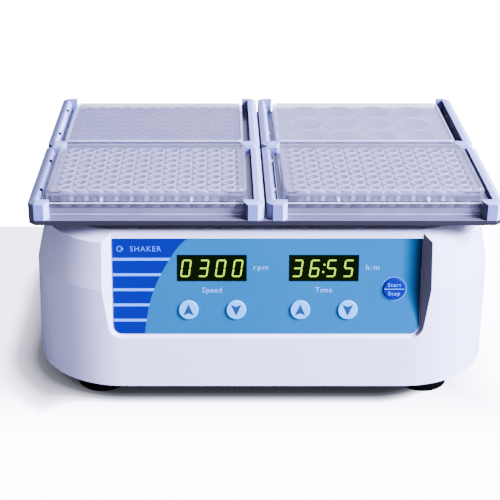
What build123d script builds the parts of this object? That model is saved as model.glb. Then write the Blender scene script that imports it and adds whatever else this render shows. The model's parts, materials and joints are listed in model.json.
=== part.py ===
"""Four-place microplate orbital shaker, modelled as an assembly of separate pieces.

Millimetres, +Z up. The origin is on the table, under the middle of the machine.
-Y is the front with the control panel, +X is the operator's right.
"""

import os
from math import cos, radians, sin

from build123d import *

os.makedirs("parts", exist_ok=True)

# ---------------------------------------------------------------- driving sizes
FOOT_H = 7.0
BASE_T = 2.0
DECK_Z = 107.0
PLATFORM_Z = 113.0
PLATFORM_T = 3.0
SEAT_Z = PLATFORM_Z + PLATFORM_T

# housing outline by height: (z, half width, half depth, corner radius)
OUTER = [
    (7.0, 145.0, 107.6, 58.0), (73.0, 143.5, 106.8, 57.0), (102.0, 137.0, 101.8, 52.0), (107.0, 128.0, 92.8, 43.0),
]
INNER = [
    (7.0, 142.2, 104.8, 55.2), (73.0, 140.7, 104.0, 54.2), (100.6, 134.4, 99.2, 49.4), (104.0, 128.0, 92.8, 43.0),
]
WALL = 2.8

# leaning control panel
PANEL_TILT = radians(9.6)
PANEL_Y = -105.25
PANEL_Z = 41.9
FILM_X = 1.5
FILM_T = 0.6
FILM_W = 187.2
FILM_LOW = 1.1
FILM_H = 60.4
PANEL = Plane(
    origin=(0, PANEL_Y, PANEL_Z), x_dir=(1, 0, 0), z_dir=(0, -cos(PANEL_TILT), sin(PANEL_TILT))
)
WINDOWS = [(-32.0, 43.0), (35.9, 43.0)]
WINDOW_W = 42.4
WINDOW_H = 16.8
ARROWS = {
    "speed_up_button": (-46.2, 16.6),
    "speed_down_button": (-17.1, 16.6),
    "time_up_button": (22.0, 16.6),
    "time_down_button": (51.0, 16.6),
}
START = (78.9, 30.0)
ARROW_R = 6.1
START_R = 6.8
BUTTON_GAP = 0.3
BOARD_Z = -11.0
PANEL_BOSSES = [(-88.0, 8.0), (88.0, 8.0), (-88.0, 54.0), (88.0, 54.0)]

# orbit drive
THROW = 2.0
DRIVE_Y = -THROW
IDLER_X = 84.0
IDLER_Y = 54.0
CHASSIS_Z = 86.0
CHASSIS_T = 4.0
CHASSIS_TOP = CHASSIS_Z + CHASSIS_T
MOTOR_Y = 60.0
DRIVEN_R = 38.0
MOTOR_PULLEY_R = 13.0
PULLEY_Z = 46.0
PULLEY_T = 10.0
PULLEY_BOSS_R = 12.0
BELT_SEAT = 1.5
BELT_W = 5.2
BELT_T = 1.1
BELT_GAP = 0.3
SHAFT_R = 5.0
MOTOR_SHAFT_R = 2.5
PIN_R = 6.0
FIT = 0.05

# plate holders
HOLDER_W = 140.5
HOLDER_D = 98.3
HOLDER_X = 71.0
HOLDER_Y = 49.65
HOLDERS = {
    "front_left": (-HOLDER_X, -HOLDER_Y),
    "front_right": (HOLDER_X, -HOLDER_Y),
    "back_left": (-HOLDER_X, HOLDER_Y),
    "back_right": (HOLDER_X, HOLDER_Y),
}
RAIL_H = 11.3
RAIL_WALL = 5.9
RAIL_ARM_T = 6.0
FRONT_ARM = 12.3
BACK_ARM = 10.0
CROWN_W = 2.9
CROWN_DROP = 1.1
GUIDE_W = 2.1
GUIDE_H = 3.6
PIN_Y = 23.95
PIN_Z = SEAT_Z + 9.5
RAIL_SCREW_Y = 33.0
SPRING_PIN_R = 1.0
SCREW_R = 1.45
SCREW_HEAD_R = 2.9
SCREW_HEAD_T = 1.4

# standard microplate
PLATE_W = 127.76
PLATE_D = 85.48
RIM_W = 118.2
RIM_D = 77.4
LID_W = 121.0
LID_D = 80.2
PLATE_WALL = 1.2
LID_WALL = 1.1

BASE_SCREWS = [(134.0, -42.0), (134.0, 0.0), (134.0, 42.0), (-134.0, -42.0), (-134.0, 0.0), (-134.0, 42.0)]
FOOT_R = 16.0
FEET = [(-101.5, -88.0), (101.5, -88.0), (-101.5, 88.0), (101.5, 88.0)]
HUB_SCREW_R = 27.0
MOTOR_SCREW_R = 16.0
FLANGE_T = 4.0
STANDOFFS = [(-108.0, -60.0), (108.0, -60.0), (-108.0, 64.0), (108.0, 64.0)]
IDLERS = {
    "front_left": (-IDLER_X, DRIVE_Y - IDLER_Y),
    "front_right": (IDLER_X, DRIVE_Y - IDLER_Y),
    "back_left": (-IDLER_X, DRIVE_Y + IDLER_Y),
    "back_right": (IDLER_X, DRIVE_Y + IDLER_Y),
}

# rear connector bay
BAY_X = -60.0
BAY_Z = 38.0
BAY_W = 92.0
BAY_H = 50.0
BAY_FLOOR_Y = 102.6
INLET_X = -80.0
SWITCH_X = -32.0


def save(builder, name):
    """Label one piece and write it to its own STEP file."""
    builder.part.label = name
    export_step(builder.part, "parts/" + name + ".step")


# ---------------------------------------------------------------- housing
with BuildPart() as outer_form:
    for level, half_w, half_d, corner in OUTER:
        with BuildSketch(Plane.XY.offset(level)):
            RectangleRounded(2 * half_w, 2 * half_d, corner)
    loft(ruled=True)

# material that backs the recessed panel, trimmed to the outside of the housing
with BuildPart() as panel_backing:
    with BuildSketch(PANEL.offset(-FILM_T - WALL)):
        with Locations((FILM_X, 33.0)):
            Rectangle(FILM_W + 7.0, 74.0)
    extrude(amount=16.0, taper=-40)
    add(outer_form.part, mode=Mode.INTERSECT)

with BuildPart() as top_housing:
    add(outer_form.part)
    for level, half_w, half_d, corner in INNER:
        with BuildSketch(Plane.XY.offset(level)):
            RectangleRounded(2 * half_w, 2 * half_d, corner)
    loft(ruled=True, mode=Mode.SUBTRACT)
    add(panel_backing.part)
    # recess with flared walls, shallowest at its lower edge
    with BuildSketch(PANEL.offset(-FILM_T)) as recess:
        with Locations((FILM_X, FILM_LOW + 39.5)):
            Rectangle(FILM_W + 0.8, 80.0)
        fillet(recess.vertices().group_by(Axis.Y)[0], 5.6)
    extrude(amount=16.0, taper=-45, mode=Mode.SUBTRACT)
    # window and button openings
    with BuildSketch(PANEL.offset(-FILM_T)):
        with Locations(*WINDOWS):
            Rectangle(WINDOW_W, WINDOW_H)
        with Locations(*ARROWS.values()):
            Circle(ARROW_R + BUTTON_GAP)
        with Locations(START):
            Circle(START_R + BUTTON_GAP)
    extrude(amount=-8.0, mode=Mode.SUBTRACT)
    # bosses for the panel board
    with BuildSketch(PANEL.offset(-FILM_T - WALL + 0.3)):
        with Locations(*PANEL_BOSSES):
            Circle(3.2)
    extrude(amount=BOARD_Z + FILM_T + WALL - 0.3)
    with BuildSketch(PANEL.offset(BOARD_Z)):
        with Locations(*PANEL_BOSSES):
            Circle(1.25)
    extrude(amount=6.0, mode=Mode.SUBTRACT)
    # rear bay for the mains inlet and the switch
    with BuildSketch(Plane.XZ.offset(-BAY_FLOOR_Y + WALL)):
        with Locations((BAY_X, BAY_Z)):
            Rectangle(BAY_W + 2 * WALL, BAY_H + 2 * WALL)
    extrude(amount=-WALL - 3.4)
    with BuildSketch(Plane.XZ.offset(-BAY_FLOOR_Y)):
        with Locations((BAY_X, BAY_Z)):
            RectangleRounded(BAY_W, BAY_H, 3.0)
    extrude(amount=-10.0, mode=Mode.SUBTRACT)
    with BuildSketch(Plane.XZ.offset(-BAY_FLOOR_Y)):
        with Locations((INLET_X, BAY_Z)):
            Rectangle(28.0, 36.0)
        with Locations((SWITCH_X, BAY_Z)):
            Rectangle(19.6, 27.6)
    extrude(amount=6.0, mode=Mode.SUBTRACT)
    # rear ventilation slots
    with BuildSketch(Plane.XZ.offset(-108.0)):
        with Locations((50.0, 44.0)):
            with GridLocations(7.0, 1.0, 12, 1):
                SlotOverall(34.0, 3.2, rotation=90)
    extrude(amount=6.0, mode=Mode.SUBTRACT)
    # deck openings round the drive hub and the idler pins
    with BuildSketch(Plane.XY.offset(DECK_Z)):
        with Locations((0, DRIVE_Y)):
            Circle(29.0)
        with Locations(*IDLERS.values()):
            Circle(12.0)
    extrude(amount=-6.0, mode=Mode.SUBTRACT)
    # screw blocks along both side walls
    for x, y in BASE_SCREWS:
        with BuildSketch(Plane.XY.offset(FOOT_H + BASE_T + 0.2)):
            with Locations((x + (1.5 if x > 0 else -1.5), y)):
                Rectangle(13.0, 10.0)
        extrude(amount=20.0)
    with BuildSketch(Plane.XY.offset(FOOT_H + BASE_T + 0.2)):
        with Locations(*BASE_SCREWS):
            Circle(1.45 + FIT)
    extrude(amount=14.0, mode=Mode.SUBTRACT)
save(top_housing, "top_housing")

# ---------------------------------------------------------------- base
with BuildPart() as bottom_plate:
    with BuildSketch(Plane.XY.offset(FOOT_H)):
        RectangleRounded(2 * INNER[0][1] - 0.8, 2 * INNER[0][2] - 0.8, INNER[0][3] - 0.4)
        with Locations(*BASE_SCREWS):
            Circle(1.8, mode=Mode.SUBTRACT)
        with Locations(*FEET):
            Circle(1.95 + FIT, mode=Mode.SUBTRACT)
        with Locations(*STANDOFFS):
            Circle(2.2, mode=Mode.SUBTRACT)
        with Locations((0, -64.0)):
            with GridLocations(9.0, 1.0, 12, 1):
                SlotOverall(26.0, 3.0, rotation=90, mode=Mode.SUBTRACT)
    extrude(amount=BASE_T)
save(bottom_plate, "bottom_plate")

with BuildPart() as rubber_feet:
    with BuildSketch():
        with Locations(*FEET):
            Circle(FOOT_R)
    extrude(amount=FOOT_H)
    chamfer(rubber_feet.edges().group_by(Axis.Z)[0], 1.2)
    with BuildSketch():
        with Locations(*FEET):
            Circle(5.0)
    extrude(amount=3.4, mode=Mode.SUBTRACT)
    with BuildSketch():
        with Locations(*FEET):
            Circle(2.3)
    extrude(amount=FOOT_H, mode=Mode.SUBTRACT)
save(rubber_feet, "rubber_feet")

with BuildPart() as base_screws:
    with BuildSketch(Plane.XY.offset(FOOT_H - 2.0)):
        with Locations(*BASE_SCREWS):
            Circle(2.8)
    extrude(amount=2.0)
    with BuildSketch(Plane.XY.offset(FOOT_H)):
        with Locations(*BASE_SCREWS):
            Circle(1.45)
    extrude(amount=13.0)
    with BuildSketch(Plane.XY.offset(1.2)):
        with Locations(*FEET):
            Circle(3.6)
    extrude(amount=2.2)
    with BuildSketch(Plane.XY.offset(3.4)):
        with Locations(*FEET):
            Circle(1.95)
    extrude(amount=7.0)
    with BuildSketch(Plane.XY.offset(1.2)):
        with Locations(*FEET):
            Rectangle(4.4, 0.9)
            Rectangle(0.9, 4.4)
    extrude(amount=1.2, mode=Mode.SUBTRACT)
    with BuildSketch(Plane.XY.offset(FOOT_H - 2.0)):
        with Locations(*BASE_SCREWS):
            Rectangle(3.4, 0.8)
            Rectangle(0.8, 3.4)
    extrude(amount=1.1, mode=Mode.SUBTRACT)
save(base_screws, "base_screws")

with BuildPart() as chassis_plate:
    with BuildSketch(Plane.XY.offset(CHASSIS_Z)):
        with Locations((0, 9.0)):
            RectangleRounded(240.0, 160.0, 14.0)
        with Locations((0, DRIVE_Y)):
            Circle(19.3, mode=Mode.SUBTRACT)
            with PolarLocations(HUB_SCREW_R, 4, start_angle=45):
                Circle(1.95 + FIT, mode=Mode.SUBTRACT)
        with Locations(*IDLERS.values()):
            Circle(11.3, mode=Mode.SUBTRACT)
        with Locations(*STANDOFFS):
            Circle(2.2, mode=Mode.SUBTRACT)
        with Locations((0, MOTOR_Y)):
            with PolarLocations(MOTOR_SCREW_R, 4, start_angle=45):
                Circle(2.2, mode=Mode.SUBTRACT)
        with Locations((-58.0, 10.0), (58.0, 10.0)):
            RectangleRounded(30.0, 66.0, 8.0, mode=Mode.SUBTRACT)
    extrude(amount=CHASSIS_T)
save(chassis_plate, "chassis_plate")

STANDOFF_LOW = FOOT_H + BASE_T
STANDOFF_L = CHASSIS_Z - STANDOFF_LOW
with BuildPart() as standoffs:
    with BuildSketch(Plane.XY.offset(STANDOFF_LOW)):
        with Locations(*STANDOFFS):
            RegularPolygon(5.0, 6, major_radius=False)
    extrude(amount=STANDOFF_L)
    for level, reach in ((STANDOFF_LOW, 10.5), (CHASSIS_Z, -10.5)):
        with BuildSketch(Plane.XY.offset(level)):
            with Locations(*STANDOFFS):
                Circle(1.95 + FIT)
        extrude(amount=reach, mode=Mode.SUBTRACT)
save(standoffs, "standoffs")

HUB_SCREW = HUB_SCREW_R * sin(radians(45))
MOTOR_SCREW = MOTOR_SCREW_R * sin(radians(45))
HUB_SCREWS = [(sx * HUB_SCREW, DRIVE_Y + sy * HUB_SCREW) for sx in (-1, 1) for sy in (-1, 1)]
MOTOR_SCREWS = [(sx * MOTOR_SCREW, MOTOR_Y + sy * MOTOR_SCREW) for sx in (-1, 1) for sy in (-1, 1)]
with BuildPart() as chassis_screws:
    # (head plane, head direction, shank length, positions)
    for seat, up, shank, points in (
        (FOOT_H, -1, 9.0, STANDOFFS),
        (CHASSIS_TOP, 1, 12.0, STANDOFFS),
        (CHASSIS_TOP, 1, 9.0, MOTOR_SCREWS),
        (CHASSIS_TOP + FLANGE_T, 1, 7.6, HUB_SCREWS),
    ):
        with BuildSketch(Plane.XY.offset(seat)):
            with Locations(*points):
                Circle(3.5)
        extrude(amount=2.2 * up)
        with BuildSketch(Plane.XY.offset(seat)):
            with Locations(*points):
                Circle(1.95)
        extrude(amount=-shank * up)
save(chassis_screws, "chassis_screws")

# ---------------------------------------------------------------- main bearing
HUB_LOW = 58.0
HUB_TOP = CHASSIS_TOP + FLANGE_T
BEARING_T = 8.0
with BuildPart() as bearing_housing:
    with BuildSketch(Plane.XY.offset(HUB_LOW)):
        with Locations((0, DRIVE_Y)):
            Circle(19.0)
    extrude(amount=HUB_TOP - HUB_LOW)
    with BuildSketch(Plane.XY.offset(CHASSIS_TOP)):
        with Locations((0, DRIVE_Y)):
            Circle(34.0)
    extrude(amount=FLANGE_T)
    with BuildSketch(Plane.XY.offset(HUB_LOW)):
        with Locations((0, DRIVE_Y)):
            Circle(11.6)
    extrude(amount=HUB_TOP - HUB_LOW, mode=Mode.SUBTRACT)
    for level in (HUB_LOW, HUB_TOP - BEARING_T):
        with BuildSketch(Plane.XY.offset(level)):
            with Locations((0, DRIVE_Y)):
                Circle(13.0 + FIT)
        extrude(amount=BEARING_T, mode=Mode.SUBTRACT)
    with BuildSketch(Plane.XY.offset(CHASSIS_TOP)):
        with Locations((0, DRIVE_Y)):
            with PolarLocations(HUB_SCREW_R, 4, start_angle=45):
                Circle(2.2)
    extrude(amount=FLANGE_T, mode=Mode.SUBTRACT)
save(bearing_housing, "bearing_housing")

with BuildPart() as bearing_outer_rings:
    for level in (HUB_LOW, HUB_TOP - BEARING_T):
        with BuildSketch(Plane.XY.offset(level)):
            with Locations((0, DRIVE_Y)):
                Circle(13.0)
                Circle(11.0, mode=Mode.SUBTRACT)
        extrude(amount=BEARING_T)
save(bearing_outer_rings, "bearing_outer_rings")

PIN_LOW = 104.6
with BuildPart() as bearing_inner_rings:
    for level in (HUB_LOW, HUB_TOP - BEARING_T):
        with BuildSketch(Plane.XY.offset(level)):
            with Locations((0, DRIVE_Y)):
                Circle(7.0)
                Circle(SHAFT_R + FIT, mode=Mode.SUBTRACT)
        extrude(amount=BEARING_T)
        with Locations((0, DRIVE_Y, level + BEARING_T / 2)):
            with PolarLocations(9.0, 8):
                Sphere(1.8)
    with BuildSketch(Plane.XY.offset(PIN_LOW)):
        Circle(8.2)
        Circle(PIN_R + FIT, mode=Mode.SUBTRACT)
    extrude(amount=BEARING_T)
    with Locations((0, 0, PIN_LOW + BEARING_T / 2)):
        with PolarLocations(10.0, 8):
            Sphere(1.6)
save(bearing_inner_rings, "bearing_inner_rings")

# ---------------------------------------------------------------- turning parts
with BuildPart() as drive_shaft:
    with BuildSketch(Plane.XY.offset(44.0)):
        with Locations((0, DRIVE_Y)):
            Circle(SHAFT_R)
    extrude(amount=50.5)
    with BuildSketch(Plane.XY.offset(94.5)):
        with Locations((0, DRIVE_Y)):
            Circle(10.0)
    extrude(amount=7.5)
    with BuildSketch(Plane.XY.offset(102.0)):
        Circle(7.4)
    extrude(amount=PIN_LOW - 102.0)
    with BuildSketch(Plane.XY.offset(PIN_LOW)):
        Circle(PIN_R)
    extrude(amount=7.8)
    chamfer(drive_shaft.edges().group_by(Axis.Z)[-1], 0.6)
    chamfer(drive_shaft.edges().group_by(Axis.Z)[0], 0.8)
save(drive_shaft, "drive_shaft")

def pulley_section(bore, outer):
    """Half section of a flat-belt pulley with two low flanges, as (radius, height above its foot)."""
    return [
        (bore, 0.0), (outer, 0.0), (outer, 1.5), (outer - BELT_SEAT, 2.0), (outer - BELT_SEAT, PULLEY_T - 2.0),
        (outer, PULLEY_T - 1.5), (outer, PULLEY_T), (bore, PULLEY_T),
    ]


with BuildPart() as driven_pulley:
    with BuildSketch(Plane(origin=(0, DRIVE_Y, PULLEY_Z), x_dir=(0, 1, 0), z_dir=(1, 0, 0))):
        with BuildLine():
            Polyline(*pulley_section(SHAFT_R + FIT, DRIVEN_R), close=True)
        make_face()
    revolve(axis=Axis((0, DRIVE_Y, 0), (0, 0, 1)))
    # dished upper side and lightening holes
    with BuildSketch(Plane.XY.offset(PULLEY_Z + 6.0)):
        with Locations((0, DRIVE_Y)):
            Circle(DRIVEN_R - 6.0)
            Circle(PULLEY_BOSS_R, mode=Mode.SUBTRACT)
    extrude(amount=PULLEY_T, mode=Mode.SUBTRACT)
    with BuildSketch(Plane.XY.offset(PULLEY_Z)):
        with Locations((0, DRIVE_Y)):
            with PolarLocations((PULLEY_BOSS_R + DRIVEN_R - 6.0) / 2, 6):
                Circle(6.0)
    extrude(amount=PULLEY_T, mode=Mode.SUBTRACT)
save(driven_pulley, "driven_pulley")

with BuildPart() as counterweight:
    with BuildSketch(Plane.XY.offset(97.5)):
        with Locations((0, DRIVE_Y)):
            Circle(40.0)
            with Locations((0, 30.0)):
                Rectangle(90.0, 60.0, mode=Mode.SUBTRACT)
            Circle(15.0)
            Circle(10.0 + FIT, mode=Mode.SUBTRACT)
    extrude(amount=4.0)
save(counterweight, "counterweight")

with BuildPart() as motor_body:
    with BuildSketch(Plane.XY.offset(58.0)):
        with Locations((0, MOTOR_Y)):
            Circle(22.0)
    extrude(amount=CHASSIS_Z - 58.0)
    chamfer(motor_body.edges().group_by(Axis.Z)[0], 1.5)
    with BuildSketch(Plane.XY.offset(58.0)):
        with Locations((0, MOTOR_Y)):
            Circle(MOTOR_SHAFT_R + FIT)
    extrude(amount=25.5, mode=Mode.SUBTRACT)
    with BuildSketch(Plane.XY.offset(CHASSIS_Z)):
        with Locations(*MOTOR_SCREWS):
            Circle(1.95 + FIT)
    extrude(amount=-6.0, mode=Mode.SUBTRACT)
save(motor_body, "motor_body")

with BuildPart() as motor_shaft:
    with BuildSketch(Plane.XY.offset(44.0)):
        with Locations((0, MOTOR_Y)):
            Circle(MOTOR_SHAFT_R)
    extrude(amount=39.0)
    chamfer(motor_shaft.edges().group_by(Axis.Z)[0], 0.4)
save(motor_shaft, "motor_shaft")

with BuildPart() as motor_pulley:
    with BuildSketch(Plane(origin=(0, MOTOR_Y, PULLEY_Z), x_dir=(0, 1, 0), z_dir=(1, 0, 0))):
        with BuildLine():
            Polyline(*pulley_section(MOTOR_SHAFT_R + FIT, MOTOR_PULLEY_R), close=True)
        make_face()
    revolve(axis=Axis((0, MOTOR_Y, 0), (0, 0, 1)))
save(motor_pulley, "motor_pulley")

# flat belt round both pulleys: the hull of two circles less a slightly smaller one
with BuildSketch() as belt_outside:
    with Locations((0, DRIVE_Y)):
        Circle(DRIVEN_R - BELT_SEAT + BELT_GAP + BELT_T)
    with Locations((0, MOTOR_Y)):
        Circle(MOTOR_PULLEY_R - BELT_SEAT + BELT_GAP + BELT_T)
    make_hull()

with BuildSketch() as belt_inside:
    with Locations((0, DRIVE_Y)):
        Circle(DRIVEN_R - BELT_SEAT + BELT_GAP)
    with Locations((0, MOTOR_Y)):
        Circle(MOTOR_PULLEY_R - BELT_SEAT + BELT_GAP)
    make_hull()

with BuildPart() as drive_belt:
    with BuildSketch(Plane.XY.offset(PULLEY_Z + (PULLEY_T - BELT_W) / 2)):
        add(belt_outside.sketch)
        add(belt_inside.sketch, mode=Mode.SUBTRACT)
    extrude(amount=BELT_W)
save(drive_belt, "drive_belt")

# ---------------------------------------------------------------- idler cranks
with BuildPart() as idler_cups:
    with BuildSketch(Plane.XY.offset(70.0)):
        with Locations(*IDLERS.values()):
            Circle(11.0)
    extrude(amount=20.0)
    with BuildSketch(Plane.XY.offset(CHASSIS_TOP)):
        with Locations(*IDLERS.values()):
            Circle(15.0)
    extrude(amount=2.5)
    with BuildSketch(Plane.XY.offset(CHASSIS_TOP + 2.5)):
        with Locations(*IDLERS.values()):
            Circle(4.0 + FIT)
    extrude(amount=-21.5, mode=Mode.SUBTRACT)
save(idler_cups, "idler_cups")

for place, (x, y) in IDLERS.items():
    with BuildPart() as idler_crank:
        with BuildSketch(Plane.XY.offset(72.0)):
            with Locations((x, y)):
                Circle(4.0)
        extrude(amount=21.0)
        with BuildSketch(Plane.XY.offset(93.0)):
            with Locations((x, y)):
                Circle(10.0)
        extrude(amount=4.0)
        with BuildSketch(Plane.XY.offset(97.0)):
            with Locations((x, y + THROW)):
                Circle(3.0)
        extrude(amount=15.0)
        chamfer(idler_crank.edges().group_by(Axis.Z)[-1], 0.4)
    save(idler_crank, "idler_crank_" + place)

# ---------------------------------------------------------------- platform
BUSHES = [(sx * IDLER_X, sy * IDLER_Y) for sx in (-1, 1) for sy in (-1, 1)]
with BuildPart() as platform_hub:
    with BuildSketch(Plane.XY.offset(104.3)):
        Circle(21.0)
    extrude(amount=PLATFORM_Z - 104.3)
    with BuildSketch(Plane.XY.offset(110.0)):
        Circle(32.0)
    extrude(amount=3.0)
    with BuildSketch(Plane.XY.offset(104.3)):
        Circle(14.0 + FIT)
    extrude(amount=PLATFORM_Z - 104.3, mode=Mode.SUBTRACT)
    with BuildSketch(Plane.XY.offset(110.0)):
        with PolarLocations(HUB_SCREW_R, 4, start_angle=45):
            Circle(1.75)
    extrude(amount=3.0, mode=Mode.SUBTRACT)
save(platform_hub, "platform_hub")

with BuildPart() as eccentric_outer_ring:
    with BuildSketch(Plane.XY.offset(PIN_LOW)):
        Circle(14.0)
        Circle(11.8, mode=Mode.SUBTRACT)
    extrude(amount=BEARING_T)
save(eccentric_outer_ring, "eccentric_outer_ring")

with BuildPart() as platform_bushes:
    with BuildSketch(Plane.XY.offset(104.5)):
        with Locations(*BUSHES):
            Circle(7.0)
    extrude(amount=PLATFORM_Z - 104.5)
    with BuildSketch(Plane.XY.offset(PLATFORM_Z)):
        with Locations(*BUSHES):
            Circle(5.0)
    extrude(amount=2.2)
    with BuildSketch(Plane.XY.offset(104.5)):
        with Locations(*BUSHES):
            Circle(3.0 + FIT)
    extrude(amount=8.0, mode=Mode.SUBTRACT)
save(platform_bushes, "platform_bushes")

HALF_W = HOLDER_W / 2
HALF_D = HOLDER_D / 2
RAIL_IN = HALF_W - RAIL_WALL
RAIL_MID = HALF_W - RAIL_WALL / 2
RAIL_SCREWS = [
    (cx + side * RAIL_MID, cy + end * RAIL_SCREW_Y)
    for cx, cy in HOLDERS.values() for side in (-1, 1) for end in (-1, 1)
]
with BuildPart() as platform_plate:
    with BuildSketch(Plane.XY.offset(PLATFORM_Z)) as outline:
        Rectangle(2 * HOLDER_X + HOLDER_W, 2 * HOLDER_Y + HOLDER_D)
        chamfer(outline.vertices(), 4.0)
    extrude(amount=PLATFORM_T)
    with BuildSketch(Plane.XY.offset(PLATFORM_Z)):
        with Locations(*BUSHES):
            Circle(5.0 + FIT)
    extrude(amount=2.4, mode=Mode.SUBTRACT)
    with BuildSketch(Plane.XY.offset(PLATFORM_Z)):
        with Locations(*RAIL_SCREWS):
            Circle(1.7)
    extrude(amount=PLATFORM_T, mode=Mode.SUBTRACT)
    with BuildSketch(Plane.XY.offset(PLATFORM_Z)):
        with Locations(*RAIL_SCREWS):
            Circle(3.2)
    extrude(amount=1.5, mode=Mode.SUBTRACT)
    with BuildSketch(Plane.XY.offset(PLATFORM_Z)):
        with PolarLocations(HUB_SCREW_R, 4, start_angle=45):
            Circle(SCREW_R + FIT)
    extrude(amount=2.4, mode=Mode.SUBTRACT)
save(platform_plate, "platform_plate")

with BuildPart() as platform_screws:
    with BuildSketch(Plane.XY.offset(PLATFORM_Z)):
        with Locations(*RAIL_SCREWS):
            Circle(SCREW_HEAD_R)
    extrude(amount=SCREW_HEAD_T)
    with BuildSketch(Plane.XY.offset(PLATFORM_Z)):
        with Locations(*RAIL_SCREWS):
            Circle(SCREW_R)
    extrude(amount=PLATFORM_T + 5.0)
    with BuildSketch(Plane.XY.offset(110.0)):
        with PolarLocations(HUB_SCREW_R, 4, start_angle=45):
            Circle(2.8)
    extrude(amount=-1.8)
    with BuildSketch(Plane.XY.offset(110.0)):
        with PolarLocations(HUB_SCREW_R, 4, start_angle=45):
            Circle(SCREW_R)
    extrude(amount=5.0)
save(platform_screws, "platform_screws")

# ---------------------------------------------------------------- holders
RAIL_TOP = SEAT_Z + RAIL_H
ARM_IN = HALF_D - RAIL_ARM_T
CORNER_CUT = 3.75
END_CUT = 2.7


def rail_outline(side):
    """Plan of one C-shaped rail about its holder's centre; side -1 is the left one."""
    front_tip = HALF_W - FRONT_ARM
    back_tip = HALF_W - BACK_ARM
    points = [
        (HALF_W, -HALF_D + CORNER_CUT), (HALF_W - CORNER_CUT, -HALF_D), (front_tip + END_CUT, -HALF_D),
        (front_tip, -HALF_D + END_CUT), (front_tip, -ARM_IN), (RAIL_IN, -ARM_IN), (RAIL_IN, ARM_IN),
        (back_tip, ARM_IN), (back_tip, HALF_D - END_CUT), (back_tip + END_CUT, HALF_D),
        (HALF_W - CORNER_CUT, HALF_D), (HALF_W, HALF_D - CORNER_CUT),
    ]
    return [(side * x, y) for x, y in points]


rail_forms = []
for side in (-1, 1):
    with BuildPart() as rail_form:
        with BuildSketch(Plane.XY.offset(SEAT_Z)):
            with BuildLine():
                Polyline(*rail_outline(side), close=True)
            make_face()
        extrude(amount=RAIL_H)
        # sloping outer edge all round the crown
        crown = rail_form.faces().sort_by(Axis.Z)[-1]
        rim = [e for e in crown.edges() if abs(e.center().X) > RAIL_IN + 0.6 or abs(e.center().Y) > HALF_D - 0.1]
        chamfer(rim, length=CROWN_W, length2=CROWN_DROP, reference=crown)
        with BuildSketch(Plane.XY.offset(SEAT_Z)):
            with Locations((side * RAIL_MID, -RAIL_SCREW_Y), (side * RAIL_MID, RAIL_SCREW_Y)):
                Circle(SCREW_R + FIT)
        extrude(amount=7.0, mode=Mode.SUBTRACT)
        # the left rail slopes down to the plate, to guide it in
        if side == -1:
            with BuildSketch(Plane.XZ):
                with BuildLine():
                    Polyline(
                        (-RAIL_IN, RAIL_TOP - GUIDE_H), (-RAIL_IN - GUIDE_W, RAIL_TOP), (-RAIL_IN, RAIL_TOP), close=True)
                make_face()
            extrude(amount=ARM_IN, both=True, mode=Mode.SUBTRACT)
    rail_forms.append(rail_form.part)

for place, (cx, cy) in HOLDERS.items():
    with BuildPart() as holder_rails:
        with Locations((cx, cy)):
            add(rail_forms)
        # spring pin bores and relief grooves on the inner face of the left rail
        with BuildSketch(Plane.YZ.offset(cx - RAIL_IN)):
            with Locations((cy - PIN_Y, PIN_Z), (cy + PIN_Y, PIN_Z)):
                Circle(SPRING_PIN_R + FIT)
        extrude(amount=-4.4, mode=Mode.SUBTRACT)
        with BuildSketch(Plane.YZ.offset(cx - RAIL_IN)):
            with Locations((cy - PIN_Y, SEAT_Z + 4.0), (cy + PIN_Y, SEAT_Z + 4.0)):
                Rectangle(3.0, 8.0)
        extrude(amount=-0.8, mode=Mode.SUBTRACT)
    save(holder_rails, "holder_rails_" + place)

    with BuildPart() as spring_pins:
        with BuildSketch(Plane.YZ.offset(cx - RAIL_IN + 0.2)):
            with Locations((cy - PIN_Y, PIN_Z), (cy + PIN_Y, PIN_Z)):
                Circle(SPRING_PIN_R)
        extrude(amount=-3.6)
    save(spring_pins, "spring_pins_" + place)

# ---------------------------------------------------------------- microplates
WELLS_96 = {"pitch": 9.0, "across": 12, "down": 8, "bore": 3.45, "tube": 4.0}
WELLS_12 = {"pitch": 25.0, "across": 4, "down": 3, "bore": 11.05, "tube": 11.9}
STANDARD = {"skirt": 8.6, "top": 14.2, "floor": 3.6, "lid_low": 8.9, "lid_top": 16.0}
LOW = {"skirt": 3.2, "top": 8.4, "floor": 2.2, "lid_low": 3.5, "lid_top": 10.2}
PLATES = {
    "front_left": (WELLS_96, STANDARD),
    "front_right": (WELLS_96, STANDARD),
    "back_left": (WELLS_96, LOW),
    "back_right": (WELLS_12, LOW),
}
CORNER = 3.2

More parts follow.
